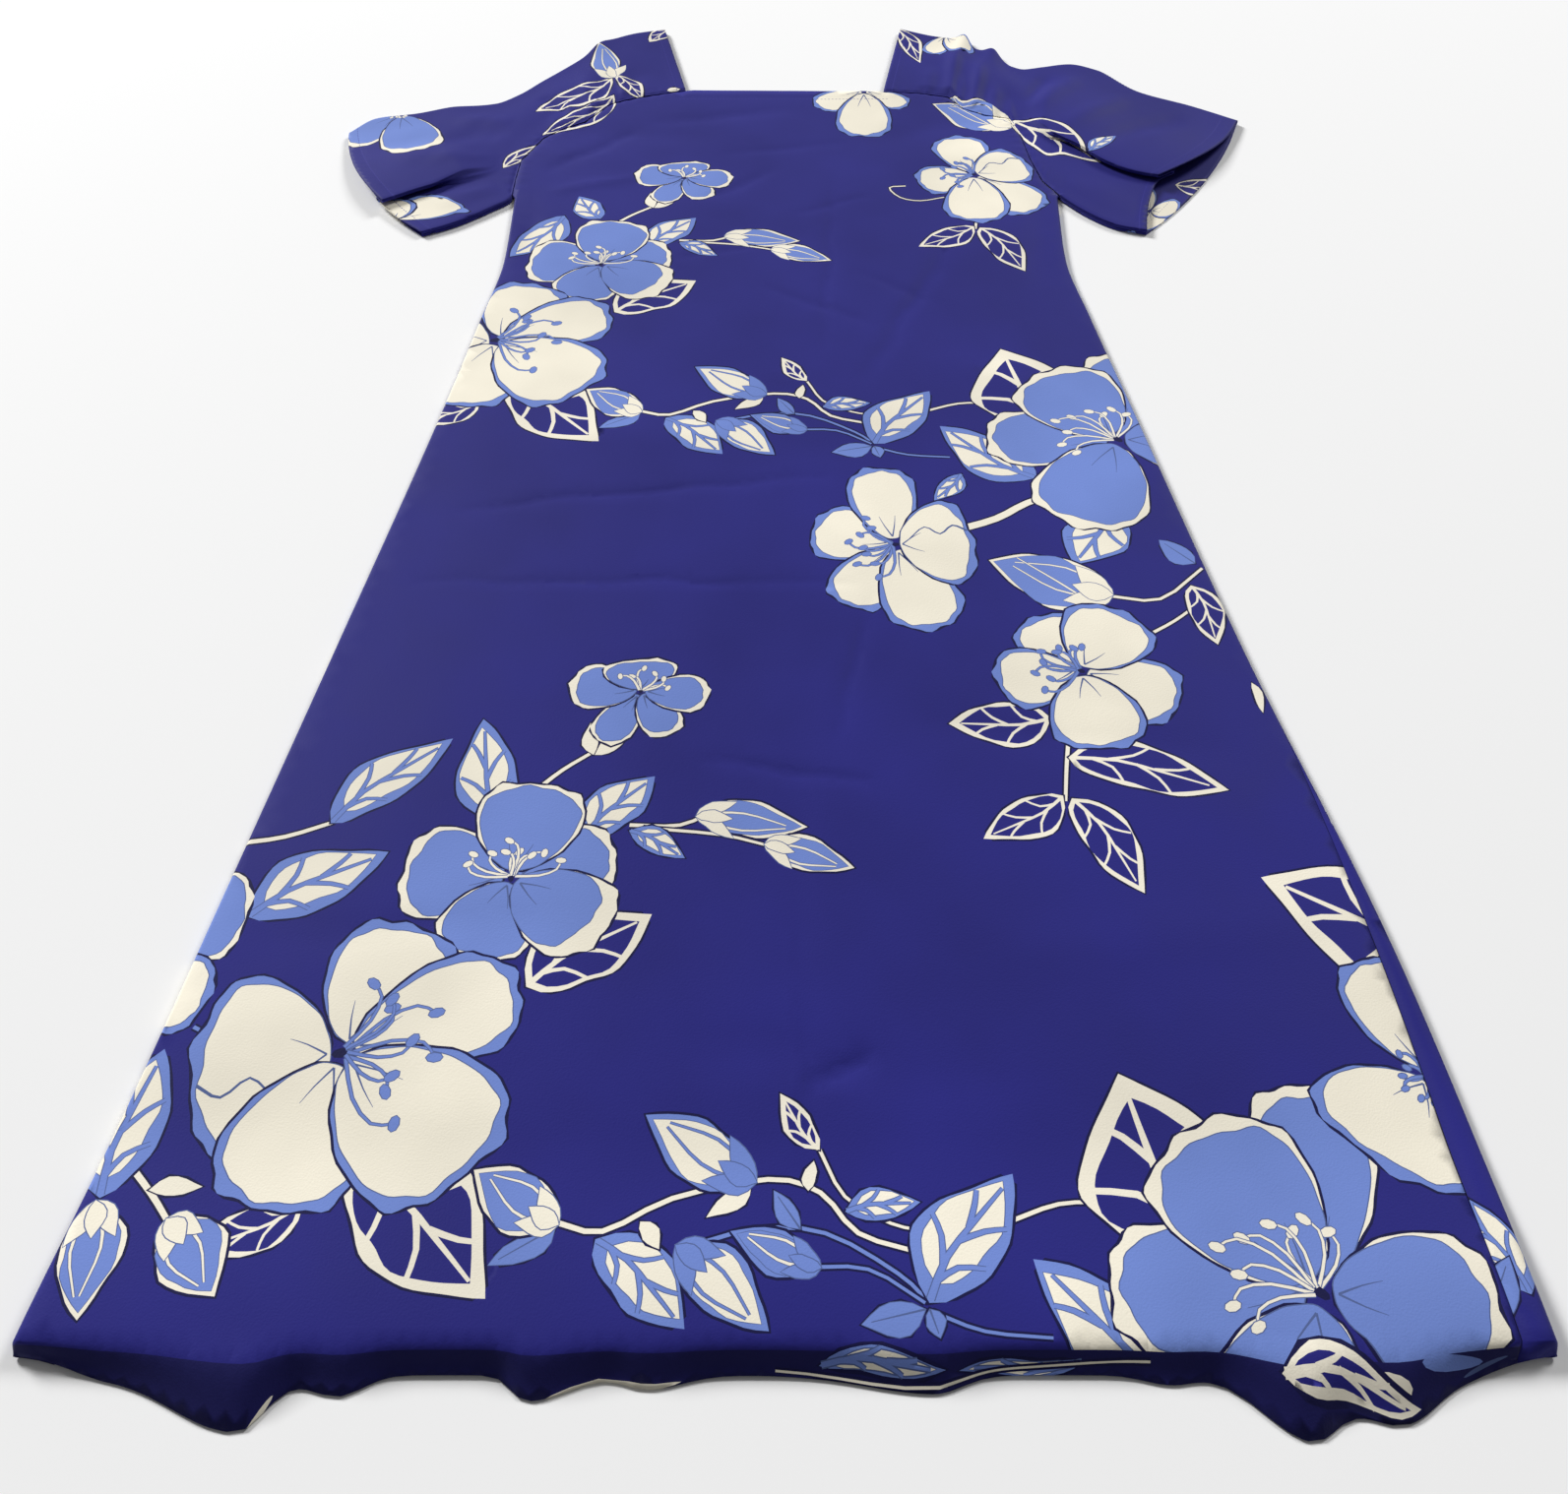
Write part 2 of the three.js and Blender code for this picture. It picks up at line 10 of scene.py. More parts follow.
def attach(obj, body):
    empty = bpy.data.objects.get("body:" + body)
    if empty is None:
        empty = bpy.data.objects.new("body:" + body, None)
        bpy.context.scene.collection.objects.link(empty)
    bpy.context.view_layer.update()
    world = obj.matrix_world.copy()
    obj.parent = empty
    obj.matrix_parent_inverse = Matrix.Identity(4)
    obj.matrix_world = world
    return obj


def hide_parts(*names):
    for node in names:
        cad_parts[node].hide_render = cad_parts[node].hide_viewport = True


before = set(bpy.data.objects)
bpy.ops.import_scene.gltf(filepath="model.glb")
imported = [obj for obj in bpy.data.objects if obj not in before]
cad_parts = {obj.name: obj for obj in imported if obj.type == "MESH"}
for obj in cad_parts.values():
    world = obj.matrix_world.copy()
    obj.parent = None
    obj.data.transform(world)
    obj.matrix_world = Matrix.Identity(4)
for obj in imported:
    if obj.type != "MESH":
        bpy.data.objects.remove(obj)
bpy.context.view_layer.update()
print("frame loaded")

# Lengths are in millimetres on the dress: x from the middle of the hem, y up from the hem line.
# They are moved to the row frame and turned into metres when a mesh is made.
originX = -11.406
originY = -651.36


def toFrame(p):
    return Vector((p[0] + originX, p[1] + originY, p[2])) / 1000


def smooth(value, low, high):
    t = min(max((value - low) / (high - low), 0), 1)
    return t * t * (3 - 2 * t)


def bell(value):
    return math.exp(-value ** 2)


def mix(a, b, t):
    return a + (b - a) * t


# gives each number in a table's rows its column's name
def named(columns, rows):
    return [dict(zip(columns, row)) for row in rows]


# one column of a table at a place between its rows, on a smooth curve that never overshoots
def along(rows, column, place, key=None):
    keys = [row[key] for row in rows] if key else range(len(rows))
    last = len(rows) - 1
    i = 0
    while i < last - 1 and keys[i + 1] <= place:
        i += 1

    def slope(k):
        return (rows[k + 1][column] - rows[k][column]) / (keys[k + 1] - keys[k])

    def tangent(k):
        if k == 0 or k == last:
            return slope(min(k, last - 1))
        before, after = slope(k - 1), slope(k)
        return 0 if before * after <= 0 else 2 * before * after / (before + after)

    h = keys[i + 1] - keys[i]
    t = min(max((place - keys[i]) / h, 0), 1)
    a, b = rows[i][column], rows[i + 1][column]
    bend = tangent(i) * h * t * (1 - t) ** 2 - tangent(i + 1) * h * t * t * (1 - t)
    return a + (b - a) * t * t * (3 - 2 * t) + bend


# which way a line runs at one of its points
def runAt(line, i):
    return (line[min(i + 1, len(line) - 1)] - line[max(i - 1, 0)]).normalized()


# a smooth line through some points
def throughPoints(points, steps):
    line = []
    for i in range(len(points) - 1):
        a, b = points[i], points[i + 1]
        before = points[i - 1] if i else a - (b - a)
        after = points[i + 2] if i + 2 < len(points) else b + (b - a)
        for k in range(steps):
            t = k / steps
            line.append(
                (a * 2 + (b - before) * t + (before * 2 - a * 5 + b * 4 - after) * t * t
                 + (a * 3 - before - b * 3 + after) * t ** 3) / 2
            )
    return line + [points[-1]]


cloth = {
    "wall": 0.7,
    "solidWall": 1.5,    # wall of the solid that a piece stands for
    "seamGap": 0.3,
    "floorLayer": 0.35,  # middle of a layer on the floor
    "topLayer": 4.3,     # middle of the front where it lies on the back
    "sag": 0.75,
    "hemSwell": 9.6,
    "swellLength": 105,
    "hemBand": 16,       # length of cloth that turns down at the hem
    "hemReach": 13,
    "cornerReach": 5,
    "cornerFade": 46,
    "overBack": 9,
    "onSurface": 15,
    "armpit": 1004,      # height at which the sleeves' seams start
    "creaseGain": 1.8,   # creases and gathers are this much higher than in their tables
    "gatherGain": 1.3,
    "creaseWander": 5,
    "seamReach": 26,     # cloth beside a seam that its sewing still moves
    "sideSeamTop": 700,  # the right side seam lies on the top layer below this
    "sideSeamDepth": 0.5,
    "cuffHem": 12,
    "cuffRow": 33,       # cloth between two rows of a sleeve's table, at the cuff and the neck
    "neckRow": 36,
}

# the dress's two side folds, and how far the side seams lie round them
bodySections = named(("y", "left", "right", "wrap"), [
    (0, -354, 355, 20),
    (75, -343, 351, 17.5),
    (160, -331, 344, 13.5),
    (230, -322, 336, 10),
    (430, -296, 303, 0),
    (690, -263, 269, 0),
    (820, -249, 252, 0),
    (900, -241, 243, 0),
    (1004, -244, 248, 0),
])

# waves of the hem: how far each comes out, its spread to both sides and how high it stands
hemFolds = named(("at", "reach", "left", "right", "ridge"), [
    (-244, 24, 44, 15, 2.8),
    (-202, 9, 20, 15, 1.0),
    (-116, 11, 10, 26, 1.8),
    (-62, 6, 14, 22, 0.8),
    (68, 8, 42, 18, 1.3),
    (176, 4, 16, 14, 0.6),
    (234, 27, 26, 20, 3.0),
    (276, 21, 24, 26, 1.8),
])

# creases on the upper side: both ends, depth (below zero is a trough) and half width
creaseColumns = ("x1", "y1", "x2", "y2", "depth", "width")
narrowCreases = named(creaseColumns, [
    (-246, 579, 40, 617, -0.55, 4.2), (-262, 505, 56, 503, -0.5, 4),
    (44, 1040, 32, 755, -0.5, 5), (60, 494, 31, 356, -0.5, 4.5),
    (151, 945, 58, 720, -0.75, 7), (-24, 868, 76, 803, -0.5, 5),
    (-56, 348, 64, 328, -0.6, 4.4), (8, 130, 54, 150, -0.9, 5),
    (5, 230, 7, 84, 0.3, 4), (-222, 1046, -134, 1134, -0.9, 7.5),
    (-138, 1140, 18, 1168, -0.7, 9), (-218, 1010, -126, 1044, 0.7, 7),
    (-76, 998, -4, 1056, -0.55, 6), (-102, 904, -18, 926, -0.35, 4.4),
    (6, 976, 84, 1012, -0.35, 4.6), (58, 884, 126, 838, -0.4, 5),
    (-64, 1084, 62, 1101, -0.4, 6), (-14, 744, 48, 700, 0.35, 5),
])
creases = narrowCreases + named(creaseColumns, [
    (-190, 655, -30, 668, 0.4, 14), (8, 420, 12, 60, -0.4, 9),
    (-228, 1100, -120, 1052, 0.6, 16), (-215, 1130, -60, 1112, -0.8, 15),
    (205, 1150, 60, 1105, -0.7, 15), (225, 1085, 96, 1062, 0.6, 18),
    (-238, 1010, -214, 880, -0.8, 10), (238, 1008, 216, 860, -0.8, 11),
    (120, 760, 232, 700, 0.5, 16), (60, 380, 290, 352, -0.5, 12),
    (-300, 215, -120, 232, -0.45, 12), (110, 205, 322, 232, 0.5, 18),
    (-80, 160, 130, 128, -0.4, 15), (-395, 1092, -262, 1120, -1.0, 9),
    (-370, 1062, -268, 1078, 0.8, 10), (-338, 1150, -262, 1142, 0.9, 10),
    (-262, 1022, -316, 990, 0.7, 8), (-236, 1190, -205, 1150, -1.0, 7),
    (300, 1240, 246, 1160, 1.3, 11), (344, 1196, 262, 1120, 1.1, 12),
    (392, 1150, 300, 1096, -1.1, 13), (276, 1250, 236, 1172, -1.2, 8),
    (262, 1034, 318, 986, 0.8, 9),
])


# how far a crease lies beside its straight line
def creaseBend(crease, reach):
    spot = Vector((reach / 40, crease["x1"] / 50, crease["y1"] / 50))
    return cloth["creaseWander"] * noise.noise(spot)


def relief(x, y):
    height = 0.35 * noise.noise(Vector((x / 90, y / 130, 3.1)))
    height += 0.2 * noise.noise(Vector((x / 34, y / 46, 8.7)))
    for crease in creases:
        ax, ay = crease["x1"], crease["y1"]
        dx, dy = crease["x2"] - ax, crease["y2"] - ay
        length = math.hypot(dx, dy)
        reach = ((x - ax) * dx + (y - ay) * dy) / length
        beside = ((x - ax) * dy - (y - ay) * dx) / length
        if abs(beside) > 3 * crease["width"] + 6 or not 0 < reach < length:
            continue
        bend = creaseBend(crease, reach)
        ends = math.sin(math.pi * reach / length) ** 0.7
        strength = cloth["creaseGain"] * crease["depth"] * ends
        height += strength * bell((beside - bend) / crease["width"])
    return height


# the way from a point to the nearest of some seam lines, and how far along the seam that is
def besideSeam(lines, x, y):
    nearest, place = 1000, 0
    for line in lines:
        passed = 0
        for a, b in zip(line, line[1:]):
            dx, dy = b.x - a.x, b.y - a.y
            length = math.hypot(dx, dy)
            t = min(max(((x - a.x) * dx + (y - a.y) * dy) / length ** 2, 0), 1)
            away = math.hypot(x - a.x - dx * t, y - a.y - dy * t)
            if away < nearest:
                nearest, place = away, passed + t * length
            passed += length
    return nearest, place


# cloth pulled down by the sewing, with small puckers across the seam
def seamRelief(lines, x, y, depth=0.9, pucker=0.22):
    away, place = besideSeam(lines, x, y)
    if away > cloth["seamReach"]:
        return 0
    wave = math.sin(place / 2 + 4 * noise.noise(Vector((place / 25, depth, pucker))))
    return pucker * wave * bell((away - 4) / 6) - depth * bell(away / 2.6)


# a hem along an edge: a doubled band with its line of stitches pressed in
def hemRelief(away, width=9):
    band = 0.32 * (1 - smooth(away, width - 0.5, width + 1.5))
    return band - 0.3 * bell((away - width + 1.5) / 0.9)


bodyCache = {}


def bodyAt(column, y):
    key = (column, round(y, 2))
    if key not in bodyCache:
        bodyCache[key] = along(bodySections, column, y, "y")
    return bodyCache[key]


def frontLevel(x, y):
    half = (bodyAt("right", y) - bodyAt("left", y)) / 2
    middle = (bodyAt("right", y) + bodyAt("left", y)) / 2
    across = min(max((x - middle) / half, -1), 1)
    flat = cloth["topLayer"] - cloth["sag"] * (1 - across * across)
    return mix(cloth["hemSwell"], flat, smooth(y, 0, cloth["swellLength"]))


def wavesAt(column, x):
    total = 0
    for fold in hemFolds:
        spread = fold["left"] if x < fold["at"] else fold["right"]
        total += fold[column] * bell((x - fold["at"]) / spread)
    return total


def hemReachAt(x):
    fromSide = min(x - bodySections[0]["left"], bodySections[0]["right"] - x)
    waves = cloth["hemReach"] - cloth["cornerReach"] + wavesAt("reach", x)
    return cloth["cornerReach"] + waves * smooth(fromSide, 0, cloth["cornerFade"])


def hemHeight(x, part):
    onBack = cloth["floorLayer"] + cloth["solidWall"] + 2 * cloth["seamGap"]
    past = smooth(hemReachAt(x), cloth["overBack"], cloth["onSurface"])
    rests = mix(onBack, cloth["floorLayer"], past)
    height = mix(cloth["hemSwell"], rests, smooth(part, 0, 1))
    return height + wavesAt("ridge", x) * math.sin(math.pi * part)


# a point of the body beside a side fold: above zero it is on the top layer, below zero beneath
def foldPoint(edge, side, distance, y, top):
    radius = (top - cloth["floorLayer"]) / 2
    quarter = radius * math.pi / 2
    past = max(abs(distance) - quarter, 0)
    angle = min(abs(distance), quarter) / radius
    x = edge - side * (cloth["wall"] / 2 + radius * (1 - math.cos(angle)) + past)
    rise = math.copysign(math.sin(angle), distance)
    return Vector((x, y, cloth["floorLayer"] + radius + radius * rise))


# one section of the body: where the flat part starts and ends, and a quarter turn of each side fold
def sectionAt(t, backLevel=False):
    y = max(t, 0)
    part = min(max(-t / cloth["hemBand"], 0), 1)
    left, right = bodyAt("left", y), bodyAt("right", y)

    def level(x):
        return hemHeight(x, part) if part > 0 else frontLevel(x, y)

    leftTop, rightTop = level(right if backLevel else left), level(right)
    leftRadius = (leftTop - cloth["floorLayer"]) / 2
    rightRadius = (rightTop - cloth["floorLayer"]) / 2
    return {
        "y": y, "part": part, "level": level, "left": left, "right": right,
        "leftTop": leftTop, "rightTop": rightTop,
        "flatFrom": left + cloth["wall"] / 2 + leftRadius,
        "flatTo": right - cloth["wall"] / 2 - rightRadius,
        "leftQuarter": leftRadius * math.pi / 2,
        "rightQuarter": rightRadius * math.pi / 2,
        "wrap": max(bodyAt("wrap", y), cloth["seamGap"] / 2),
    }


# a place on a side fold, and how far it is above the fold's outer line (layer: 1 front, -1 back)
def onFold(row, s, t, layer):
    if t > cloth["armpit"] or row["flatFrom"] <= s <= row["flatTo"]:
        return None, 0
    if s < row["flatFrom"]:
        distance = layer * (row["leftQuarter"] - (row["flatFrom"] - s))
        return foldPoint(row["left"], -1, distance, row["y"], row["leftTop"]), distance
    distance = layer * (row["rightQuarter"] - (s - row["flatTo"]))
    return foldPoint(row["right"], 1, distance, row["y"], row["rightTop"]), distance


# where a panel starts and ends in its flat place: the front goes on round the left fold, and the
# back round the right one
def panelEnds(row, isBack):
    half = cloth["seamGap"] / 2
    wrap = row["wrap"] if isBack else -row["wrap"]
    start = row["flatFrom"] - row["leftQuarter"] + wrap + half
    return start, row["flatTo"] + row["rightQuarter"] + wrap - half


# where a place on the flat front comes to lie, s across and t up from the hem line
def frontSurface(s, t):
    row = sectionAt(t)
    p, distance = onFold(row, s, t, 1)
    if p:
        onTop = smooth(distance, 0, row["leftQuarter"]) if s < row["flatFrom"] else 0
    else:
        p = Vector((s, row["y"], row["level"](s)))
        fromFold = min(s - row["flatFrom"], row["flatTo"] - s)
        onTop = smooth(fromFold, 0, 12) if t < cloth["armpit"] else 1
    if t < 0:
        p.y = -hemReachAt(p.x) * row["part"]
        onTop *= 1 - row["part"]
    height = relief(s, t)
    if t > cloth["armpit"] - 30:
        height += seamRelief(raglanLines, s, t) + hemRelief(neckLine - t)
    elif t < cloth["sideSeamTop"]:
        height -= cloth["sideSeamDepth"] * bell((panelEnds(row, False)[1] - s) / 2)
    p.z += height * onTop
    return p


def backSurface(s, t):
    row = sectionAt(t, backLevel=True)
    p, distance = onFold(row, s, t, -1)
    p = p or Vector((s, row["y"], cloth["floorLayer"]))
    reach = hemReachAt(p.x) if s > row["flatTo"] and distance > 0 else cloth["cornerReach"]
    if t < 0:
        p.y = -reach * row["part"]
    return p


sleeveColumns = ("topX", "topY", "seamX", "seamY", "bow", "backBow", "ridge", "tuck", "puff")
sleeveLeft = {
    "side": -1,
    "flare": 0,
    "crown": [(9.7, 5, 0.5)],  # heaps of cloth at the shoulder: place in rows, height, spread
    "rows": named(sleeveColumns, [
        (-417, 1122, -319, 945, 19, 14, 0.72, 13, 2.2),
        (-396, 1150, -293, 960, 10, 7, 0.72, 9, 2.0),
        (-358, 1160, -264, 985, 4, 3, 0.72, 4, 1.6),
        (-322, 1174, -247, 1006, 0, 0, 0.73, 0.8, 1.2),
        (-300, 1176, -247, 1036, 0, 0, 0.74, 0, 1.0),
        (-283, 1180, -246, 1070, 0, 0, 0.75, 0, 1.0),
        (-262, 1199, -229, 1112, 0, 0, 0.75, 0, 1.2),
        (-243, 1226, -211, 1131, 0, 0, 0.75, 0, 1.6),
        (-226, 1249, -193, 1143, 0, 0, 0.75, 0, 1.8),
        (-205, 1279, -171, 1179, 0, 0, 0.75, 0, 1.8),
        (-185, 1311, -157, 1187, 0, 0, 0.75, 0, 1.4),
        (-160, 1331, -136, 1196, 0, 0, 0.75, 0, 0.8),
        (-126, 1342, -98, 1207, 0, 0, 0.75, 0, 0),
    ]),
    # puckers that the shoulder seam draws in: place in rows, height, and how far up from the seam
    "gathers": [
        (6.8, 0.6, 0.35), (7.6, 1.5, 0.5), (8.5, 2.0, 0.75),
        (9.3, 1.1, 0.45), (10.1, 1.6, 0.6), (11, 0.6, 0.35),
    ],
}
sleeveRight = {
    "side": 1,
    "flare": 3.6,
    "crown": [(9.7, 10, 0.36), (8.15, 8, 0.42)],
    "rows": named(sleeveColumns, [
        (440, 1146, 320, 948, -26, 12, 0.65, 20, 3.0),
        (400, 1175, 296, 956, -15, 6, 0.65, 17, 3.0),
        (352, 1205, 270, 979, -5, 2, 0.65, 13, 2.6),
        (318, 1250, 251, 1006, 0, 0, 0.66, 9, 2.4),
        (291, 1263, 238, 1032, 0, 0, 0.68, 6, 2.2),
        (264, 1257, 231, 1072, 0, 0, 0.71, 2.5, 2.0),
        (244, 1252, 227, 1112, 0, 0, 0.76, 0.8, 2.0),
        (232, 1258, 218, 1150, 0, 0, 0.78, 0, 2.4),
        (217, 1282, 196, 1157, 0, 0, 0.78, 0, 2.8),
        (199, 1297, 176, 1170, 0, 0, 0.78, 0, 2.6),
        (182, 1318, 163, 1193, 0, 0, 0.78, 0, 1.8),
        (155, 1327, 137, 1201, 0, 0, 0.78, 0, 0.8),
        (123, 1343, 99, 1205, 0, 0, 0.78, 0, 0),
    ]),
    "gathers": [
        (6.9, 0.8, 0.4), (7.7, 2.0, 0.55), (8.6, 2.6, 0.9),
        (9.35, 1.4, 0.5), (10.0, 2.8, 1.0), (10.8, 1.5, 0.5),
    ],
}
sleeveArmpit = 3   # row of the armpit: before it the sleeve is a closed tube
puffEnd = 0.8
gatherWidth = 0.34
crownRise = 0.35   # height of a shoulder's heap for each millimetre that it stands out
seamTurn = 3.2     # cloth that dips into the raglan seam
tuck = {"layer": 2.9, "step": 3.6, "rises": 4, "opens": 3, "folds": 8, "fade": 0.85}
# place when flat in steps, end it goes to when folded, half layers beside it, layers up
tuckPath = [
    (2, 0, 1, 0), (1.2, 0, 0.3, 0.15), (0.5, 0, 0, 0.5), (0, 0, 0.3, 0.85), (-0.5, 0.5, 0, 1),
    (-1, 1, -0.3, 1.15), (-1.5, 1, 0, 1.5), (-2, 1, -0.3, 1.85), (-2.6, 1, -1, 2),
]
# parts of the way at which a sleeve has points below its tuck, above it and underneath
lowerStops = (0.15, 0.32, 0.5, 0.68, 0.85)
upperStops = (0.08, 0.16, 0.26, 0.37, 0.5, 0.62, 0.75, 0.88, 1)
underStops = (0.15, 0.3, 0.45, 0.6, 0.75, 0.88)


# across a sleeve's line, away from the middle of the dress
def outwardFrom(run, sleeve):
    outward = Vector((run.y, -run.x))
    return -outward if outward.x * sleeve["side"] < 0 else outward


# the raglan seam from the armpit to the neck, moved by half the seam's gap
def raglanSeam(sleeve, away):
    points = [Vector((row["seamX"], row["seamY"])) for row in sleeve["rows"][sleeveArmpit:]]
    moved = []
    for i, point in enumerate(points):
        outward = outwardFrom(runAt(points, i), sleeve)
        moved.append(point + outward * away * cloth["seamGap"] / 2)
    return moved


raglanLines = [raglanSeam(sleeveLeft, 0), raglanSeam(sleeveRight, 0)]
neckLine = 1206


# One section of a sleeve: from the front seam through the tuck, over the shoulder fold and back
# beneath. Each point comes with its place on the flat cloth.
def sleeveSection(sleeve, seam, place, steps):
    rows = sleeve["rows"]
    at = {column: along(rows, column, place) for column in sleeveColumns}
    top = Vector((at["topX"], at["topY"]))
    low = Vector((at["seamX"], at["seamY"]))
    last = len(rows) - 1
    isTube = place <= sleeveArmpit
    if not isTube:
        i = min(int(place) - sleeveArmpit, len(seam) - 2)
        low = seam[i].lerp(seam[i + 1], place - sleeveArmpit - i)
    length = (low - top).length
    run = (low - top) / length
    outward = outwardFrom(run, sleeve)
    under = cloth["floorLayer"]
    radius = (cloth["topLayer"] - under) / 2
    middle = under + radius
    crown = 0
    for row, rise, spread in sleeve["crown"]:
        crown += rise * bell((place - row) / spread)

    def spot(s, z, bow):
        s -= crown * (1 - smooth(s / length, 0, 0.4))
        f = s / length
        g = min(f / at["ridge"], 1)
        flare = max(-bow, 0) * sleeve["flare"] * g * (1 - g)
        p = top + run * s + outward * (bow * 4 * f * (1 - f) + flare)
        return Vector((p.x, p.y, z))

    def plain(s):
        f = min(max(s / length, 0), 1)
        height = at["puff"] * math.sin(math.pi * min(f / puffEnd, 1)) ** 2
        height += crownRise * crown * (1 - smooth(f, 0, 0.35))
        for row, rise, reach in sleeve["gathers"]:
            beside = bell((place - row) / gatherWidth)
            fade = 1 - smooth(1 - f, reach / 2, reach)
            height += cloth["gatherGain"] * rise * beside * smooth(1 - f, 0.02, 0.12) * fade
        p = spot(s, 0, at["bow"])
        crease = relief(p.x, p.y) * smooth(f, 0.05, 0.2) * (1 - smooth(f, 0.9, 0.98))
        if isTube:
            crease += hemRelief(place * cloth["cuffRow"], cloth["cuffHem"]) * smooth(f, 0.05, 0.1)
        else:
            crease += seamRelief([seam], p.x, p.y) + hemRelief((last - place) * cloth["neckRow"])
        return cloth["topLayer"] + height + crease

    rises = smooth(at["tuck"], 0, tuck["rises"])
    folds = smooth(at["tuck"], tuck["opens"], tuck["folds"])
    ridge = at["ridge"] * length

    def tuckPlace(stop):
        folded = mix(ridge - at["tuck"], ridge, stop[1]) + stop[2] * tuck["layer"] / 2
        return mix(ridge + stop[0] * tuck["step"], folded, folds)

    turns = []
    for stop in tuckPath:
        s = tuckPlace(stop)
        turns.append(Vector((s, plain(s) + rises * stop[3] * tuck["layer"])))
    for _ in range(3):  # a half folded tuck has rounder turns
        amount = mix(0.04, 0.6, 4 * folds * (1 - folds))
        threes = zip(turns, turns[1:], turns[2:])
        inner = [turn.lerp((before + after) / 2, amount) for before, turn, after in threes]
        turns = [turns[0], *inner, turns[-1]]

    front, back = [], []
    bow, backBow = at["bow"], at["backBow"]
    half = radius * (1 - math.sqrt(0.5))
    above = radius * math.sqrt(0.5)
    if isTube:
        front += [spot(length, middle + 0.15, 0), spot(length - half, middle + above, bow)]
        front += [spot(length - radius, cloth["topLayer"], bow)]
        back += [spot(length - radius, under, backBow)]
        back += [spot(length - half, middle - above, backBow), spot(length, middle - 0.15, 0)]
    else:
        level = frontLevel(low.x, low.y)
        dip = mix(level, plain(length), 0.5)
        front += [spot(length, level, 0), spot(length - seamTurn / 2, dip, bow)]
        front += [spot(length - seamTurn, plain(length - seamTurn), bow)]
        back += [spot(length - seamTurn / 2, under, backBow), spot(length, under, 0)]
    lowerEnd = length - (radius if isTube else seamTurn)
    lowerStart = tuckPlace(tuckPath[0]) + tuck["step"] / 2
    for f in lowerStops:
        s = mix(lowerEnd, lowerStart, f)
        front.append(spot(s, plain(s), bow))
    front += [spot(turn.x, turn.y, bow) for turn in turns]
    upperStart = tuckPlace(tuckPath[-1])
    for f in upperStops:
        s = mix(upperStart, radius + 4, f)
        overTuck = rises * 2 * tuck["layer"] * (1 - smooth(f, 0, tuck["fade"]))
        front.append(spot(s, plain(s) + overTuck, bow))
    fold = []
    for degrees in (90, 60, 30, 0, -30, -60, -90):
        a = math.radians(degrees)
        rise = radius + crownRise / 2 * crown
        fold.append(spot(radius * (1 - math.cos(a)), under + rise * (1 + math.sin(a)), 0))
    backEnd = length - radius if isTube else length
    beneath = [spot(mix(radius, backEnd, f), under, backBow) for f in underStops]

    points = throughPoints(front + fold + beneath + back, steps)
    crest = (len(front) + 3) * steps
    spans = [(points[i + 1] - points[i]).length for i in range(len(points) - 1)]
    flat = []
    for i in range(len(points)):
        distance = sum(spans[i:crest]) if i < crest else -sum(spans[crest:i])
        place2d = top + run * distance
        flat.append(Vector((place2d.x, place2d.y, 0)))
    for p in points:
        p.z = max(p.z, under)
    return flat, points


# Navy is the ground, a rim goes round each motif, and slate is the line beside its paler colours.
# The hem entry is painted shade: it darkens the band that turns down, as though it lay in shadow.
inksAndHemShade = {
    "navy": (0.02, 0.0192, 0.195),
    "rim": (0.0085, 0.0085, 0.06),
    "blue": (0.165, 0.25, 0.63),
    "ivory": (0.9, 0.845, 0.705),
    "slate": (0.09, 0.13, 0.31),
    "thread": (0.04, 0.038, 0.27),
    # painted shade: the dark colour of the turned-down hem band, not an ink of the print
    "hem": (0.0115, 0.0112, 0.09),
}
rimWidth = 1.5


def direction(degrees):
    return Vector((math.cos(math.radians(degrees)), math.sin(math.radians(degrees))))


def leftOf(axis):
    return Vector((-axis.y, axis.x))


# moves a shape's points outwards
def grown(shape, amount):
    out = []
    for i, point in enumerate(shape):
        run = (shape[(i + 1) % len(shape)] - shape[i - 1]).normalized()
        out.append(point - leftOf(run) * amount)
    return out


# a shape with a slate line round it
def contoured(ink, shape, line):
    return [("slate", grown(shape, line)), (ink, shape)]


# a petal from the middle of its flower, with a frilled edge; inset gives the same petal smaller
def petalShape(centre, angle, length, width, seed, inset=0, tipInset=0):
    axis = direction(angle)
    size = (length + width) / 140 * (0.7 if inset else 1.15)
    count = round((length + width) / 2.3)
    out = []
    for i in range(count):
        a = math.tau * i / count
        frill = 0.8 * math.sin(5 * a + seed + inset) + 0.7 * math.sin(9 * a + 2.3 * seed - inset)
        frill += 0.6 * math.sin(14 * a + 3.1 * seed)
        frill = frill * size * (0.35 - 0.95 * min(math.cos(a), 0))
        away = math.cos(a) if math.cos(a) > 0 else -abs(math.cos(a)) ** 0.8  # broad towards the tip
        u = (length - 1.1 * inset - tipInset) * (0.54 - 0.46 * away) - frill * math.cos(a)
        v = (width / 2 - inset) * math.sin(a) * (1 - 0.26 * away) + frill * math.sin(a)
        out.append(centre + axis * u - leftOf(axis) * v)
    return out


# a leaf's middle line and half its width at a part of its length
def leafAt(base, tip, width, t, curve=0.05, blunt=0.85):
    axis = tip - base
    side = leftOf(axis.normalized())
    half = width / 2 * max(math.sin(math.pi * t ** blunt), 0) ** (0.75 if t < 0.5 else 0.95)
    half *= 1 + 0.06 * math.sin(9 * t + width) + 0.03 * math.sin(19 * t + 2 * width)
    bend = curve * math.sin(math.pi * t) + 0.02 * math.sin(math.tau * t)
    return base + axis * t + side * bend * axis.length, side, half


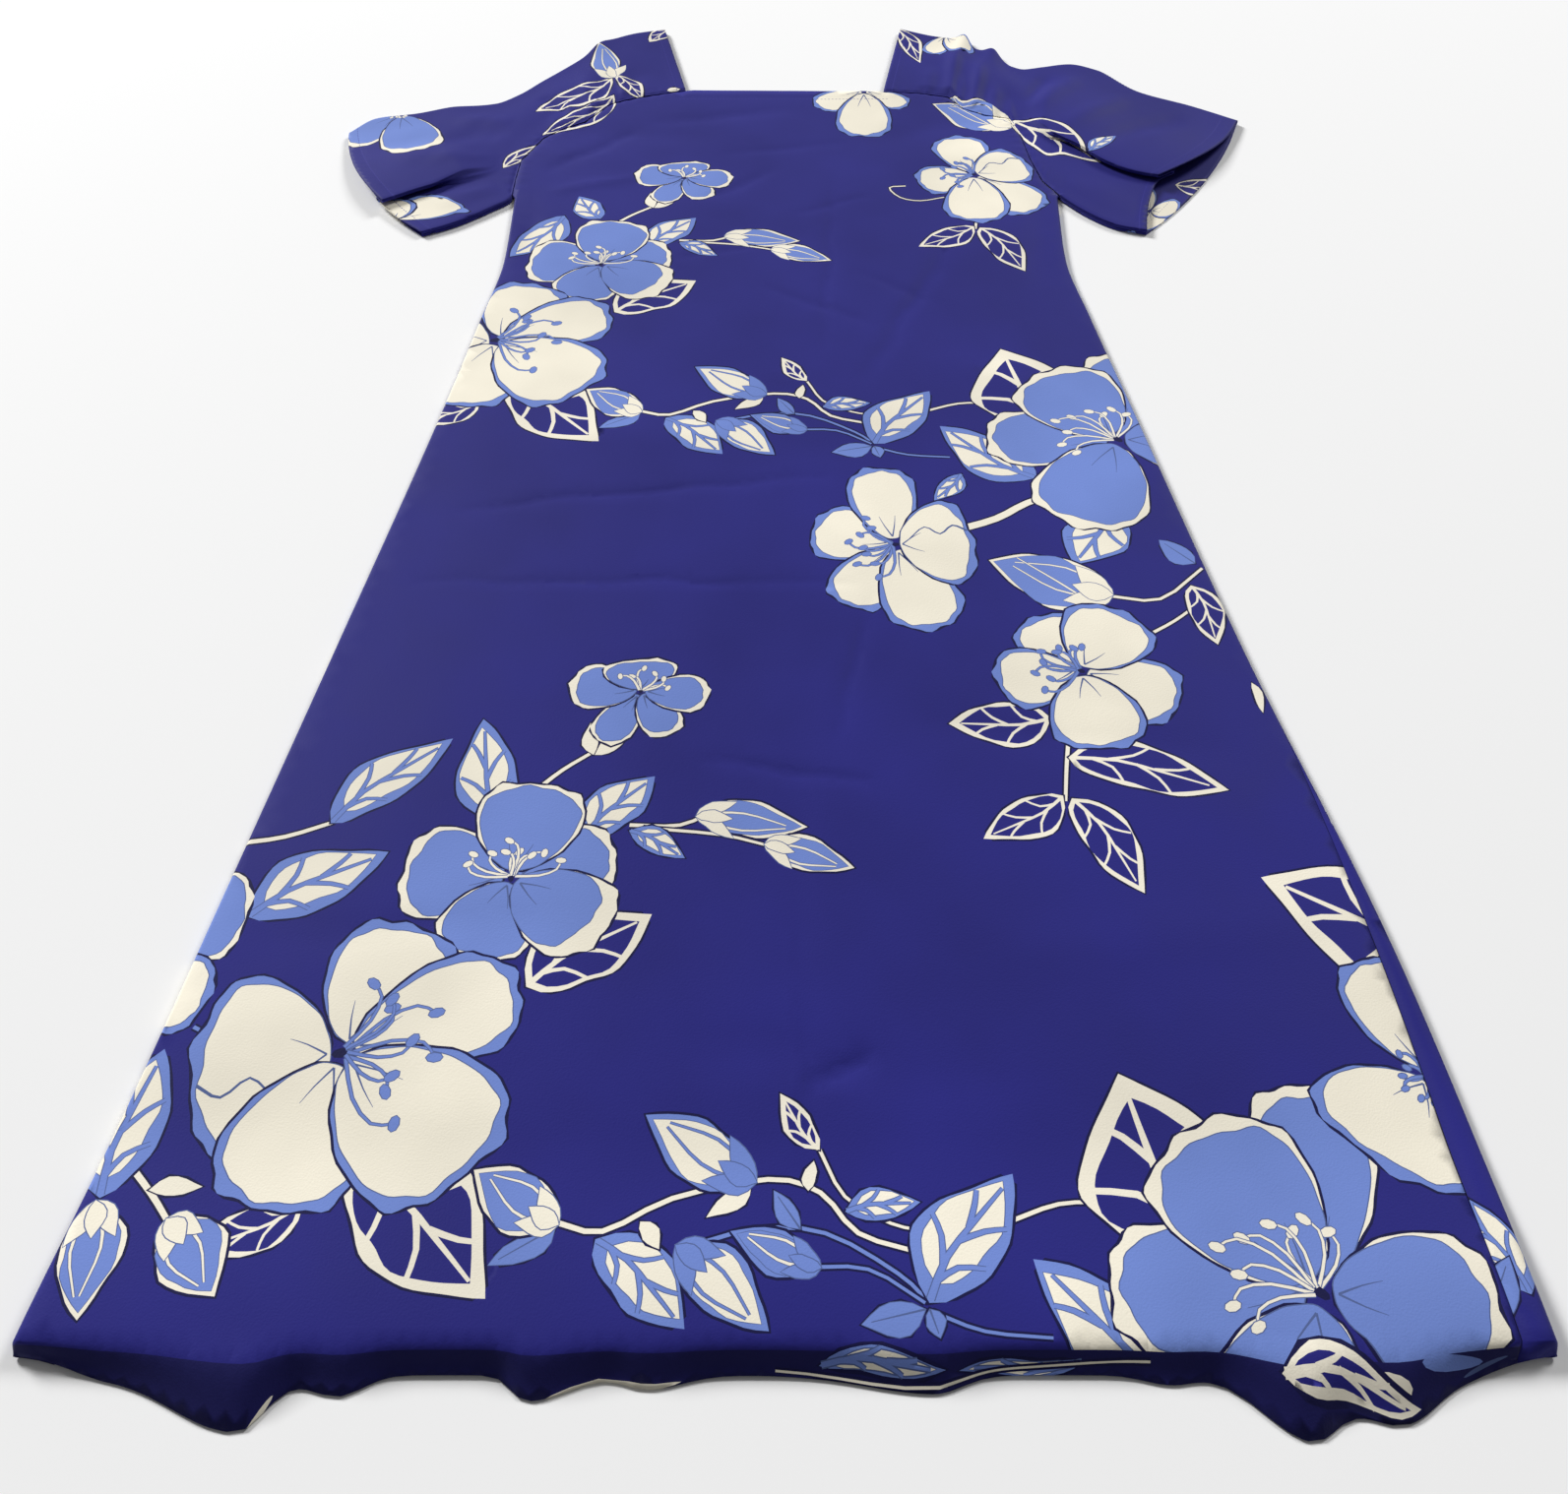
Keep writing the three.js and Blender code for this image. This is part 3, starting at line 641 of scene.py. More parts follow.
def leafShape(base, tip, width, curve=0.05, blunt=0.85):
    count = max(6, round((tip - base).length / 4.8))
    out = []
    for sign in (-1, 1):
        for i in range(count):
            t = i / count if sign < 0 else 1 - i / count
            middle, side, half = leafAt(base, tip, width, t, curve, blunt)
            out.append(middle + side * half * sign)
    return out


def roundShape(centre, angle, length, width, count=8):
    axis = direction(angle)
    out = []
    for i in range(count):
        a = math.tau * i / count
        u, v = axis * math.cos(a) * length / 2, leftOf(axis) * math.sin(a) * width / 2
        out.append(centre + u + v)
    return out


def ribbon(points, start, end, steps=3):
    line = throughPoints([Vector(p) for p in points], steps)
    left, right = [], []
    for i, p in enumerate(line):
        across = leftOf(runAt(line, i)) * mix(start, end, i / (len(line) - 1)) / 2
        left.append(p + across)
        right.append(p - across)
    return right + left[::-1]


# a thick middle vein and side veins that curve out to the leaf's edge
def veins(base, tip, width, ink, thick, pairs, reach, edge=None):
    lines = [([leafAt(base, tip, width, t)[0] for t in (0.02, 0.3, 0.6, 0.88)], thick, thick * 0.4)]
    for i in range(pairs):
        for sign in (-1, 1):
            t = 0.13 + 0.58 * (i + 0.4 * (sign > 0)) / pairs
            root = leafAt(base, tip, width, t)[0]
            bend, side, half = leafAt(base, tip, width, t + 0.15)
            bend = bend + side * sign * half * 0.35
            end, side, half = leafAt(base, tip, width, min(t + 0.24, 0.97))
            end = end + side * sign * half * reach
            lines.append(([root, bend, end], thick * 0.75, thick * 0.55))
    parts = []
    if edge:
        parts += [(edge, ribbon(line, start + 1.1, end + 0.9, 2)) for line, start, end in lines]
    return parts + [(ink, ribbon(line, start, end, 2)) for line, start, end in lines]


def leaf(kind, base, tip, width):
    run = (tip - base).normalized()
    outer = leafShape(base, tip, width)
    parts = [("rim", grown(outer[::2], rimWidth))]
    if kind == "filled":
        shift = leftOf(run) * width * 0.05
        inner = leafShape(base.lerp(tip, 0.12) + shift, base.lerp(tip, 0.92) + shift, width * 0.78)
        parts += [("blue", outer)] + contoured("ivory", inner, 0.5)
        parts += veins(base, tip, width, "blue", max(2.2, width * 0.085), 2, 0.84, "slate")
    elif kind == "outline":
        line = max(1.7, width * 0.06)
        start, end = base + run * line * 1.6, tip - run * line * 3
        inner = leafShape(start + leftOf(run) * line * 0.3, end, width - 2.3 * line)
        parts += [("ivory", outer), ("navy", inner)]
        parts += veins(base, tip, width, "ivory", line * 1.3, 2, 0.93)
    elif kind == "blue":
        vein = [base, base.lerp(tip, 0.4), base.lerp(tip, 0.85)]
        parts += contoured("blue", outer, 0.4) + [("slate", ribbon(vein, 1.1, 0.5, 2))]
    else:
        parts += [("ivory", outer)]
    return parts


budInks = {  # outline, body, edges of its folded petals, calyx
    "blue": ("ivory", "blue", "ivory", "ivory"),
    "white": ("blue", "ivory", "blue", "blue"),
    "soft": ("blue", "blue", "ivory", "blue"),
}


def bud(kind, base, tip, width):
    line, body, folds, calyx = budInks[kind]
    axis = tip - base
    run = axis.normalized()
    thin = 2.4 if kind == "white" else 1.8
    outer = leafShape(base, tip, width, 0.03, 0.8)
    inner = leafShape(base + run * thin, tip - run * 2 * thin, width - 2 * thin, 0.03, 0.8)
    parts = [("rim", grown(outer, rimWidth)), (line, outer)] + contoured(body, inner, 0.4)
    edges = ((-0.1, -0.27, -0.1), (0.12, 0.2, -0.02), (0.3, 0.05, -0.2))
    for start, swell, end in edges if width > 40 else edges[:2]:
        across = leftOf(run) * width
        stops = ((0.05, start), (0.4, swell), (0.8, end))
        path = [base + axis * far + across * away for far, away in stops]
        parts += [("slate", ribbon(path, 2.7, 1.6)), (folds, ribbon(path, 1.8, 0.8))]
    for turn, reach in ((-32, 0.4), (34, 0.38), (2, 0.3)):
        a = math.radians(turn)
        point = base + (run * math.cos(a) + leftOf(run) * math.sin(a)) * axis.length * reach
        parts += contoured(calyx, leafShape(base - run * 3, point, width * 0.32), 0.6)
    return parts


def stamens(core, centre, lean, reach, count, seed):
    dice = random.Random(seed)
    parts = []
    for i in range(count):
        angle = lean + (i - (count - 1) / 2) * 150 / count + dice.uniform(-6, 6)
        run = direction(angle)
        far = reach * dice.uniform(0.62, 1.08)
        swing = leftOf(run) * dice.choice((-1, 1)) * far * 0.17
        path = [
            centre + run * far * 0.08, centre + run * far * 0.5 + swing,
            centre + run * far * 0.85 + swing, centre + run * far,
        ]
        parts += [("slate", ribbon(path, 2.6, 1.9, 2)), (core, ribbon(path, 1.6, 1.0, 2))]
        turn = angle + dice.uniform(-60, 60)
        head = roundShape(path[-1], turn, 0.12 * reach + 2.8, 0.07 * reach + 1.8)
        parts += contoured(core, head, 0.55)
    return parts


foldLine = ((0.95, 0.12), (0.78, 0.2), (0.6, 0.1), (0.42, 0.2), (0.2, 0.06))  # on a folded petal


# Petals are printed in the order of their list, each over the one before.
# Each has its angle, length and width, and some have more of the edge's ink at the tip.
def flower(kind, centre, petals, lean, reach, seed, fold=None):
    parts = []
    inside, edge = ("ivory", "blue") if kind == "white" else ("blue", "ivory")
    leastEdge, edgeGrowth = (1.6, 0.017) if kind == "white" else (1.2, 0.013)
    for i, (angle, length, width, *more) in enumerate(petals):
        turn = seed + 1.7 * i
        outer = petalShape(centre, angle, length, width, turn)
        border = leastEdge + edgeGrowth * (length + width)
        inner = petalShape(centre, angle, length, width, turn, border, more[0] if more else 0)
        parts += [("rim", grown(outer, rimWidth)[::2]), (edge, outer)]
        parts += contoured(inside, inner, 0.6)
        axis, side = direction(angle) * length, leftOf(direction(angle)) * width
        if i == fold:  # the edge of a petal that is folded over
            path = [centre + axis * u + side * v for u, v in foldLine]
            parts.append(("slate", ribbon(path, 1.9, 0.9)))
        for v in (-0.07, 0.08):
            bend, end = centre + axis * 0.24 + side * v, centre + axis * 0.36 + side * v * 1.6
            path = [centre + axis * 0.1, bend, end]
            parts.append(("slate", ribbon(path, 1.2, 0.3, 2)))
    if reach:
        parts.append(("rim", roundShape(centre, lean, reach * 0.22, reach * 0.12)))
        parts += stamens(edge, centre, lean, reach, 9 if reach > 24 else 6, seed)
    return parts


def stem(ink, width, points):
    rim = ribbon(points, width + 2.4, width + 2.0)
    return [("rim", rim), (ink, ribbon(points, width, width * 0.8))]


# a line of stitches beside an edge
def stitches(line, step=3.6):
    parts = []
    ahead = 0
    for a, b in zip(line, line[1:]):
        length = (b - a).length
        run = (b - a) / length
        turn = math.degrees(math.atan2(run.y, run.x))
        while ahead < length:
            parts.append(("thread", roundShape(a + run * ahead, turn, 2.5, 0.75, 6)))
            ahead += step
        ahead -= length
    return parts


# One repeat of the print. A motif that stands in one copy only has that copy's number at its end:
# 0 is the lower copy and 1 the upper one.
printRepeat = 640
# ink, width, path
printStems = [
    ("ivory", 2.8, ((-112, 58), (-88, 53), (-55, 70), (-8, 80), (18, 73), (36, 52), (66, 42))),
    ("ivory", 1.8, ((18, 96), (30, 71), (52, 57), (70, 53))),
    ("blue", 2.2, ((-50, 44), (-14, 54), (20, 52), (54, 32), (68, 18))),
    ("blue", 1.9, ((10, 35), (40, 34), (66, 18))),
    ("ivory", 2.3, ((110, 58), (135, 67), (160, 68))), ("blue", 1.8, ((69, 14), (93, 5), (124, 2))),
    ("ivory", 2.6, ((-92, 300), (-62, 300), (-40, 312))),
    ("ivory", 2.2, ((-84, 298), (-38, 293), (-9, 285))),
    ("ivory", 2.8, ((-150, 327), (-136, 342), (-119, 356))),
    ("ivory", 2.6, ((179, 372), (174, 345), (170, 318))),
    ("ivory", 6.5, ((120, 560), (152, 573), (176, 590), (208, 605)), 0),
    ("ivory", 2.6, ((222, 494), (256, 491), (290, 521)), 0),
    ("ivory", 2.4, ((244, 458), (262, 470), (281, 486)), 0),
    ("ivory", 3.2, ((-322, 286), (-295, 291), (-268, 302)), 0),
    ("blue", 2.2, ((-316, 165), (-305, 160), (-290, 158)), 0),
    ("ivory", 3.4, ((-330, 90), (-312, 72), (-299, 57)), 0),
]
# kind, base, tip, width
printLeaves = [
    ("filled", -270, 301, -207, 367, 35, 0), ("filled", -304, 235, -232, 280, 42, 0),
    ("filled", -168, 301, -190, 383, 36, 0), ("filled", -119, 290, -79, 337, 33),
    ("filled", -92, 296, -58, 276, 17), ("outline", -141, 190, -75, 237, 46),
    ("outline", -216, 86, -140, 20, 60), ("outline", -236, 68, -284, 42, 26),
    ("blue", -111, 55, -141, 36, 13), ("filled", -91, 49, -46, 6, 33),
    ("blue", 8, 54, -5, 74, 10),
    ("outline", 18, 96, -2, 127, 15), ("ivory", 12, 74, 15, 90, 7),
    ("ivory", -70, 58, -60, 44, 9), ("ivory", -16, 78, -38, 60, 10),
    ("filled", 30, 63, 67, 68, 17), ("filled", 68, 18, 114, 83, 42),
    ("blue", 66, 15, 36, 8, 16), ("blue", 68, 15, 72, 2, 9),
    ("outline", 205, 38, 175, 138, 78), ("filled", 186, -22, 119, 39, 43),
    ("outline", 169, 384, 104, 380, 37, 0), ("outline", 176, 352, 270, 326, 38, 0),
    ("outline", 169, 322, 118, 290, 29), ("outline", 174, 320, 207, 251, 32),
    ("filled", 131, 623, 109, 593, 17, 0), ("filled", 234, 584, 202, 525, 46, 0),
    ("blue", 286, 526, 265, 550, 18, 0), ("outline", 279, 504, 287, 448, 25, 0),
    ("outline", 384, 212, 276, 262, 72, 0), ("ivory", 302, 414, 304, 388, 6, 0),
    ("filled", -337, 70, -328, 152, 42, 0), ("ivory", -314, 74, -288, 76, 10, 0),
    ("filled", -164, 335, -187, 373, 27, 1), ("filled", -197, 340, -238, 273, 36, 1),
    ("ivory", -118, 354, -98, 368, 11), ("ivory", -118, 354, -122, 380, 10),
]
printBuds = [
    ("blue", -112, 58, -155, 85, 32), ("blue", -50, 306, 14, 299, 27),
    ("blue", -9, 285, 41, 269, 24), ("blue", 222, 496, 143, 530, 50, 0),
    ("blue", 220, 504, 147, 548, 46, 1),
    ("blue", -338, 66, -328, 10, 30, 0), ("blue", -299, 57, -267, 21, 34, 0),
    ("white", -16, 80, -71, 115, 33), ("white", -50, 44, -7, 5, 30),
    ("soft", 15, 36, -26, 53, 22),
]
printFlowers = named(("kind", "x", "y", "lean", "reach", "petals", "only", "fold"), [
    ("blue", -158, 262, 95, 30,
     ((174, 64, 62, 2), (19, 62, 48, 2), (253, 56, 52), (-34, 68, 54, 9), (82, 70, 62))),
    ("white", -234, 150, 12, 50,
     ((72, 84, 66), (25, 98, 62), (186, 77, 98), (255, 89, 72), (-40, 102, 84)), None, 2),
    ("blue", -92, 407, 75, 20,
     ((243, 48, 26), (172, 46, 36, 2), (95, 28, 46), (-60, 42, 26, 2), (-3, 44, 30, 2))),
    ("white", 193, 425, 150, 32,
     ((114, 54, 50), (190, 56, 50), (-25, 66, 54), (-83, 66, 58), (57, 64, 60)), 0),
    ("white", 176, 412, 165, 29,
     ((100, 72, 50), (196, 54, 46), (-50, 82, 52), (-92, 82, 56), (24, 56, 58)), 1, 4),
    ("white", 78, 546, 188, 34,
     ((162, 60, 54), (240, 70, 46), (97, 84, 48), (-74, 86, 52), (5, 56, 82)), 0, 4),
    ("blue", 252, 23, 138, 46,
     ((79, 110, 60, 4), (179, 99, 62, 3), (246, 106, 80, 3), (119, 95, 80, 3), (-6, 84, 68, 4))),
    ("white", 337, 137, 200, 16, ((102, 72, 46), (230, 62, 82)), 0),
    ("blue", -352, 236, 0, 0, ((0, 48, 56),), 0),
    ("white", -360, 190, 0, 0, ((-8, 48, 46),), 0),
])


# the leaves or the buds of a table, in one copy of the repeat
def drawEach(draw, table, move=Vector((0, 0)), copy=0):
    parts = []
    for kind, baseX, baseY, tipX, tipY, width, *only in table:
        if not only or copy in only:
            parts += draw(kind, Vector((baseX, baseY)) + move, Vector((tipX, tipY)) + move, width)
    return parts


# all motifs of some copies of the repeat, in the order they are printed
def repeatMotifs(copies, shiftX=0, shiftY=0):
    parts = []
    for copy in copies:
        move = Vector((shiftX, shiftY + copy * printRepeat))
        want = copy % 2
        for ink, width, path, *only in printStems:
            if not only or want in only:
                parts += stem(ink, width, [Vector(p) + move for p in path])
        parts += drawEach(leaf, printLeaves, move, want) + drawEach(bud, printBuds, move, want)
        for i, row in enumerate(printFlowers):
            if row.get("only") in (None, want):
                centre = Vector((row["x"], row["y"])) + move
                shape = (centre, row["petals"], row["lean"], row["reach"])
                parts += flower(row["kind"], *shape, i + 1, row.get("fold"))
    return parts


def setInputs(node, values):
    for name, value in values.items():
        node.inputs[name].default_value = value


def paintCloth(name):
    material = bpy.data.materials.new(name)
    material.use_nodes = True
    nodes, links = material.node_tree.nodes, material.node_tree.links
    shader = nodes["Principled BSDF"]
    # base colour from the print attribute, which also carries the painted shade of the hem band
    ink = nodes.new("ShaderNodeAttribute")
    ink.attribute_name = "print"
    place = nodes.new("ShaderNodeTexCoord")

    def cloud(scale, detail):
        node = nodes.new("ShaderNodeTexNoise")
        setInputs(node, {"Scale": scale, "Detail": detail})
        links.new(place.outputs["Object"], node.inputs["Vector"])
        return node.outputs["Fac"]

    def spread(value, low, high):
        node = nodes.new("ShaderNodeMapRange")
        setInputs(node, {"From Min": 0.3, "From Max": 0.7, "To Min": low, "To Max": high})
        links.new(value, node.inputs["Value"])
        return node.outputs["Result"]

    mottle = cloud(7, 3)
    tint = nodes.new("ShaderNodeVectorMath")
    tint.operation = "SCALE"
    links.new(ink.outputs["Color"], tint.inputs[0])
    links.new(spread(mottle, 0.88, 1.12), tint.inputs["Scale"])
    links.new(tint.outputs["Vector"], shader.inputs["Base Color"])
    links.new(spread(mottle, 0.56, 0.7), shader.inputs["Roughness"])
    grain = nodes.new("ShaderNodeBump")
    setInputs(grain, {"Strength": 0.25, "Distance": 0.0004})
    links.new(cloud(900, 2), grain.inputs["Height"])
    links.new(grain.outputs["Normal"], shader.inputs["Normal"])
    shader.inputs["Specular IOR Level"].default_value = 0.1
    shader.inputs["Sheen Weight"].default_value = 0.05
    shader.inputs["Sheen Roughness"].default_value = 0.45
    return material


clothMaterial = paintCloth("printedCloth")


# the print's places were read at the floor's level, so it is drawn a little nearer to this point
printFrom = Vector((0, -211))
printScale = 0.9936
weldWithin = 0.02


# drops the points that only lie under other motifs, in the flat piece
def dropHidden(bm, printAndShadeLayer, kept):
    for _ in range(3):
        chosen, busy = [], set()
        for vert in bm.verts:
            if vert in kept or vert in busy or vert.is_boundary:
                continue
            shades = {tuple(loop[printAndShadeLayer]) for loop in vert.link_loops}
            if len(shades) == 1:
                chosen.append(vert)
                busy.update(edge.other_vert(vert) for edge in vert.link_edges)
        if not chosen:
            break
        bmesh.ops.dissolve_verts(bm, verts=chosen)
        bmesh.ops.triangulate(bm, faces=[face for face in bm.faces if len(face.verts) > 3])


# cuts the print's outlines into a flat piece, lays the piece out in its form and gives it thickness
def printedPiece(name, node, outline, inside, foldLines, parts, lift):
    points = list(outline)
    faces = [list(range(len(outline)))]
    edges = []
    for line in foldLines:
        edges += [(len(points) + i, len(points) + i + 1) for i in range(len(line) - 1)]
        points += line
    points += inside
    gridPoints = len(points)
    low = Vector((min(p.x for p in outline), min(p.y for p in outline)))
    high = Vector((max(p.x for p in outline), max(p.y for p in outline)))
    used = ["navy"]
    for ink, shape in parts:
        shape = [printFrom.lerp(p, printScale) for p in shape]
        if any(low.x < p.x < high.x and low.y < p.y < high.y for p in shape):
            faces.append(list(range(len(points), len(points) + len(shape))))
            points += shape
            used.append(ink)
    cut = geometry.delaunay_2d_cdt(points, edges, faces, 1, weldWithin)
    points, _, faces, sources, _, origins = cut
    bm = bmesh.new()
    # the colour attribute holds the print, and the painted shade of the turned-down hem band
    printAndShadeLayer = bm.loops.layers.float_color.new("print")
    verts, kept = {}, set()
    for face, origin in zip(faces, origins):
        if 0 not in origin:
            continue
        for i in face:
            if i not in verts:
                verts[i] = bm.verts.new((*points[i], 0))
                if any(source < gridPoints for source in sources[i]):
                    kept.add(verts[i])
        made = bm.faces.new([verts[i] for i in face])
        for loop in made.loops:
            loop[printAndShadeLayer] = (*inksAndHemShade[used[max(origin)]], 1)
    dropHidden(bm, printAndShadeLayer, kept)
    for vert in bm.verts:
        vert.co = toFrame(lift(vert.co.x, vert.co.y))
    bm.normal_update()
    for face in bm.faces:
        face.smooth = True
    area = sum(face.calc_area() for face in bm.faces)
    mesh = bpy.data.meshes.new(name)
    bm.to_mesh(mesh)
    bm.free()
    mesh.materials.append(clothMaterial)
    piece = bpy.data.objects.new(name, mesh)
    bpy.context.collection.objects.link(piece)
    thick = piece.modifiers.new("thickness", "SOLIDIFY")
    thick.thickness = cloth["wall"] / 1000
    thick.offset = 0
    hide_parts(node)
    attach(piece, "root")
    print(name, len(mesh.polygons), "faces", round(area, 4), "m2")
    return piece, area


def seamX(points, y):
    for a, b in zip(points, points[1:]):
        if y <= b.y:
            return mix(a.x, b.x, (y - a.y) / (b.y - a.y))
    return points[-1].x


# a line with points at even steps between its own
def throughSteps(line, step):
    out = []
    for a, b in zip(line, line[1:]):
        count = max(1, round((b - a).length / step))
        out += [a.lerp(b, i / count) for i in range(count)]
    return out + [line[-1]]


grid = {
    "front": 10,
    "back": 16,
    "hemSteps": 8,
    "swellSteps": 18,
    "swellStep": 6,
    "quarterSteps": 4,
    "seamStep": 3,
    "besideSeam": (1.5, 3.5, 6.5, 10),
    "besideNeck": (7, 8.5, 11),
    "creaseStep": 9,
    "acrossCrease": (-1.6, -0.8, 0, 0.8, 1.6),  # in half widths
}


# outline, inner points and fold lines of a body panel in its flat place
def bodyPattern(isBack, spacing):
    leftSeam = throughSteps(raglanSeam(sleeveLeft, -1), grid["seamStep"])
    rightSeam = throughSteps(raglanSeam(sleeveRight, -1), grid["seamStep"])
    band, steps = cloth["hemBand"], grid["hemSteps"]
    levels = [-band + band * i / steps for i in range(steps)]
    levels += [grid["swellStep"] * i for i in range(grid["swellSteps"])]
    while levels[-1] < cloth["armpit"] - spacing:
        levels.append(levels[-1] + spacing)
    levels.append(cloth["armpit"])
    left, right, inside = [], [], []
    lines, before = {}, set()  # lines along a fold are broken where the seam takes their place
    for n, t in enumerate(levels):
        row = sectionAt(t, isBack)
        ends = panelEnds(row, isBack)
        left.append(Vector((ends[0], t)))
        right.append(Vector((ends[1], t)))
        now = set()
        for edge, quarter, sign in (("flatFrom", "leftQuarter", -1), ("flatTo", "rightQuarter", 1)):
            for k in range(2 * grid["quarterSteps"] + 1):
                s = row[edge] + sign * row[quarter] * k / grid["quarterSteps"]
                if ends[0] + 0.4 < s < ends[1] - 0.4:
                    runs = lines.setdefault((sign, k), [])
                    if (sign, k) not in before:
                        runs.append([])
                    runs[-1].append(Vector((s, t)))
                    now.add((sign, k))
        before = now
        s = math.ceil((row["flatFrom"] + 3) / spacing) * spacing + (spacing / 2 if n % 2 else 0)
        while s < row["flatTo"] - 3:
            inside.append(Vector((s, t)))
            s += spacing
    t = cloth["armpit"] + spacing
    while t < 1200:
        s = math.ceil((seamX(leftSeam, t) + 12) / spacing) * spacing
        while s < seamX(rightSeam, t) - 12:
            inside.append(Vector((s, t)))
            s += spacing
        t += spacing
    if not isBack:
        for seam, turn in ((leftSeam, 1), (rightSeam, -1)):
            for i in range(4, len(seam) - 4):
                inward = leftOf((seam[i + 1] - seam[i - 1]).normalized()) * -turn
                inside += [seam[i] + inward * away for away in grid["besideSeam"]]
        for x in range(-96, 97, 6):
            inside += [Vector((x, neckLine - away)) for away in grid["besideNeck"]]
        for crease in narrowCreases:
            start, end = Vector((crease["x1"], crease["y1"])), Vector((crease["x2"], crease["y2"]))
            run = (end - start).normalized()
            step = grid["creaseStep"]
            for k in range(1, int((end - start).length / step)):
                for away in grid["acrossCrease"]:
                    beside = creaseBend(crease, step * k) + away * crease["width"]
                    inside.append(start + run * step * k - leftOf(run) * beside)
    bottom = [Vector((mix(left[0].x, right[0].x, i / 90), left[0].y)) for i in range(1, 90)]
    neck = [leftSeam[-1].lerp(rightSeam[-1], i / 24) for i in range(1, 24)]
    outline = [left[0], *bottom, *right, *rightSeam[1:], *neck[::-1]]
    outline += [*leftSeam[:0:-1], *left[:0:-1]]
    return outline, inside, [run for runs in lines.values() for run in runs if len(run) > 1]


# the print on the turned-down hem belongs to motifs that lie further down on the cloth
hemPrint = [
    ("ivory", -78, -14.3, 1, 62, 2.6), ("ivory", -238, -14.6, 20, 12, 2.4),
    ("ivory", 272, -8.5, 0, 26, 7), ("blue", 306, -6, -8, 30, 5), ("slate", 322, -10, 10, 22, 2.2),
]

neckPetals = ((216, 58, 38), (322, 52, 30), (268, 92, 52))
frontParts = repeatMotifs((0, 1)) + flower("white", Vector((80, 1216)), neckPetals, 270, 0, 11)
frontParts += drawEach(leaf, [
    ("outline", -168, 1198, -232, 1124, 28), ("outline", 222, 1152, 290, 1054, 38),
])
# painted shade: a dark band along the turned-down hem, drawn over the print where the band would
# lie in shadow
hemShadeLine = [(x, -10.8) for x in range(-420, 421, 20)]
frontParts.append(("hem", ribbon(hemShadeLine, 15, 15)))
for ink, x, y, turn, length, width in hemPrint:
    frontParts.append((ink, roundShape(Vector((x, y)), turn, length, width, 14)))
frontParts += drawEach(leaf, [
    ("outline", 226, -5, 288, -13, 11), ("filled", 16, -9, 74, -8, 9),
    ("filled", 138, -8, 80, -9, 8),
])
frontParts += stem("ivory", 1.2, ((-4, -12), (40, -13.5), (90, -12), (168, -7)))
frontParts += stitches([Vector((-103, neckLine - 7.5)), Vector((103, neckLine - 7.5))])
frontParts += stem("ivory", 1.6, ((112, 1032), (97, 1029), (106, 1012), (124, 1006), (146, 1012)))
frontPattern = bodyPattern(False, grid["front"])
frontPiece, frontArea = printedPiece(
    "frontCloth", "front_panel", *frontPattern, frontParts, frontSurface
)

backParts = repeatMotifs((-1, 0, 1), 42, 250)
# the strip of the back beside the front's right seam shows plain cloth
strip = [sectionAt(t, True) for t in (-20, 0, 75, 160, 230, 330, 430, 690, 820)]
inner = [Vector((row["flatTo"] + row["rightQuarter"] - 2, row["y"])) for row in strip]
outer = [(inner[0].x, -20), (inner[0].x + 60, -20), (inner[-1].x + 60, 820)]
backParts.append(("navy", inner[:0:-1] + [Vector(p) for p in outer]))
backParts += drawEach(leaf, [("filled", 366, 22, 384, 78, 26), ("blue", 392, 10, 368, 40, 14)])
backPattern = bodyPattern(True, grid["back"])
backPiece, backArea = printedPiece(
    "backCloth", "back_panel", *backPattern, backParts, backSurface
)


def sleevePiece(name, node, sleeve, parts):
    seam = raglanSeam(sleeve, 1)
    last = len(sleeve["rows"]) - 1
    perRow = 16  # sections for each row of the sleeve's table
    flatRows, shapedRows = [], []
    for i in range(last * perRow + 1):
        flat, shaped = sleeveSection(sleeve, seam, i / perRow, 2)
        flatRows.append(flat)
        shapedRows.append(shaped)
    columns = min(len(row) for row in flatRows)  # the raglan part has fewer points beneath
    flatRows = [row[:columns - 1] + row[-1:] for row in flatRows]
    shapedRows = [row[:columns - 1] + row[-1:] for row in shapedRows]
    flat = [p for row in flatRows for p in row]
    shaped = [p for row in shapedRows for p in row]
    quads = []
    for i in range(len(flatRows) - 1):
        for j in range(columns - 1):
            a = i * columns + j
            quads += [(a, a + 1, a + columns + 1), (a, a + columns + 1, a + columns)]
    tree = BVHTree.FromPolygons(flat, quads)

    def lift(x, y):
        spot = Vector((x, y, 0))
        hit, _, index, _ = tree.find_nearest(spot)
        a, b, c = quads[index]
        corners = (flat[a], flat[b], flat[c], shaped[a], shaped[b], shaped[c])
        return geometry.barycentric_transform(hit, *corners)

    rim = flatRows[0] + [row[-1] for row in flatRows[1:]] + flatRows[-1][-2::-1]
    rim += [row[0] for row in flatRows[-2:0:-1]]
    outline = [p.to_2d() for p in rim]
    turning = sum(a.x * b.y - b.x * a.y for a, b in zip(outline, outline[1:] + outline[:1]))
    if turning < 0:
        outline.reverse()
    inside = [p.to_2d() for row in flatRows[1:-1] for p in row[1:-1]]
    for row in (flatRows[6], flatRows[-4]):  # cuff and neck hem
        parts = parts + stitches([p.to_2d() for p in row[2:-2]])
    return printedPiece(name, node, outline, inside, [], parts, lift)


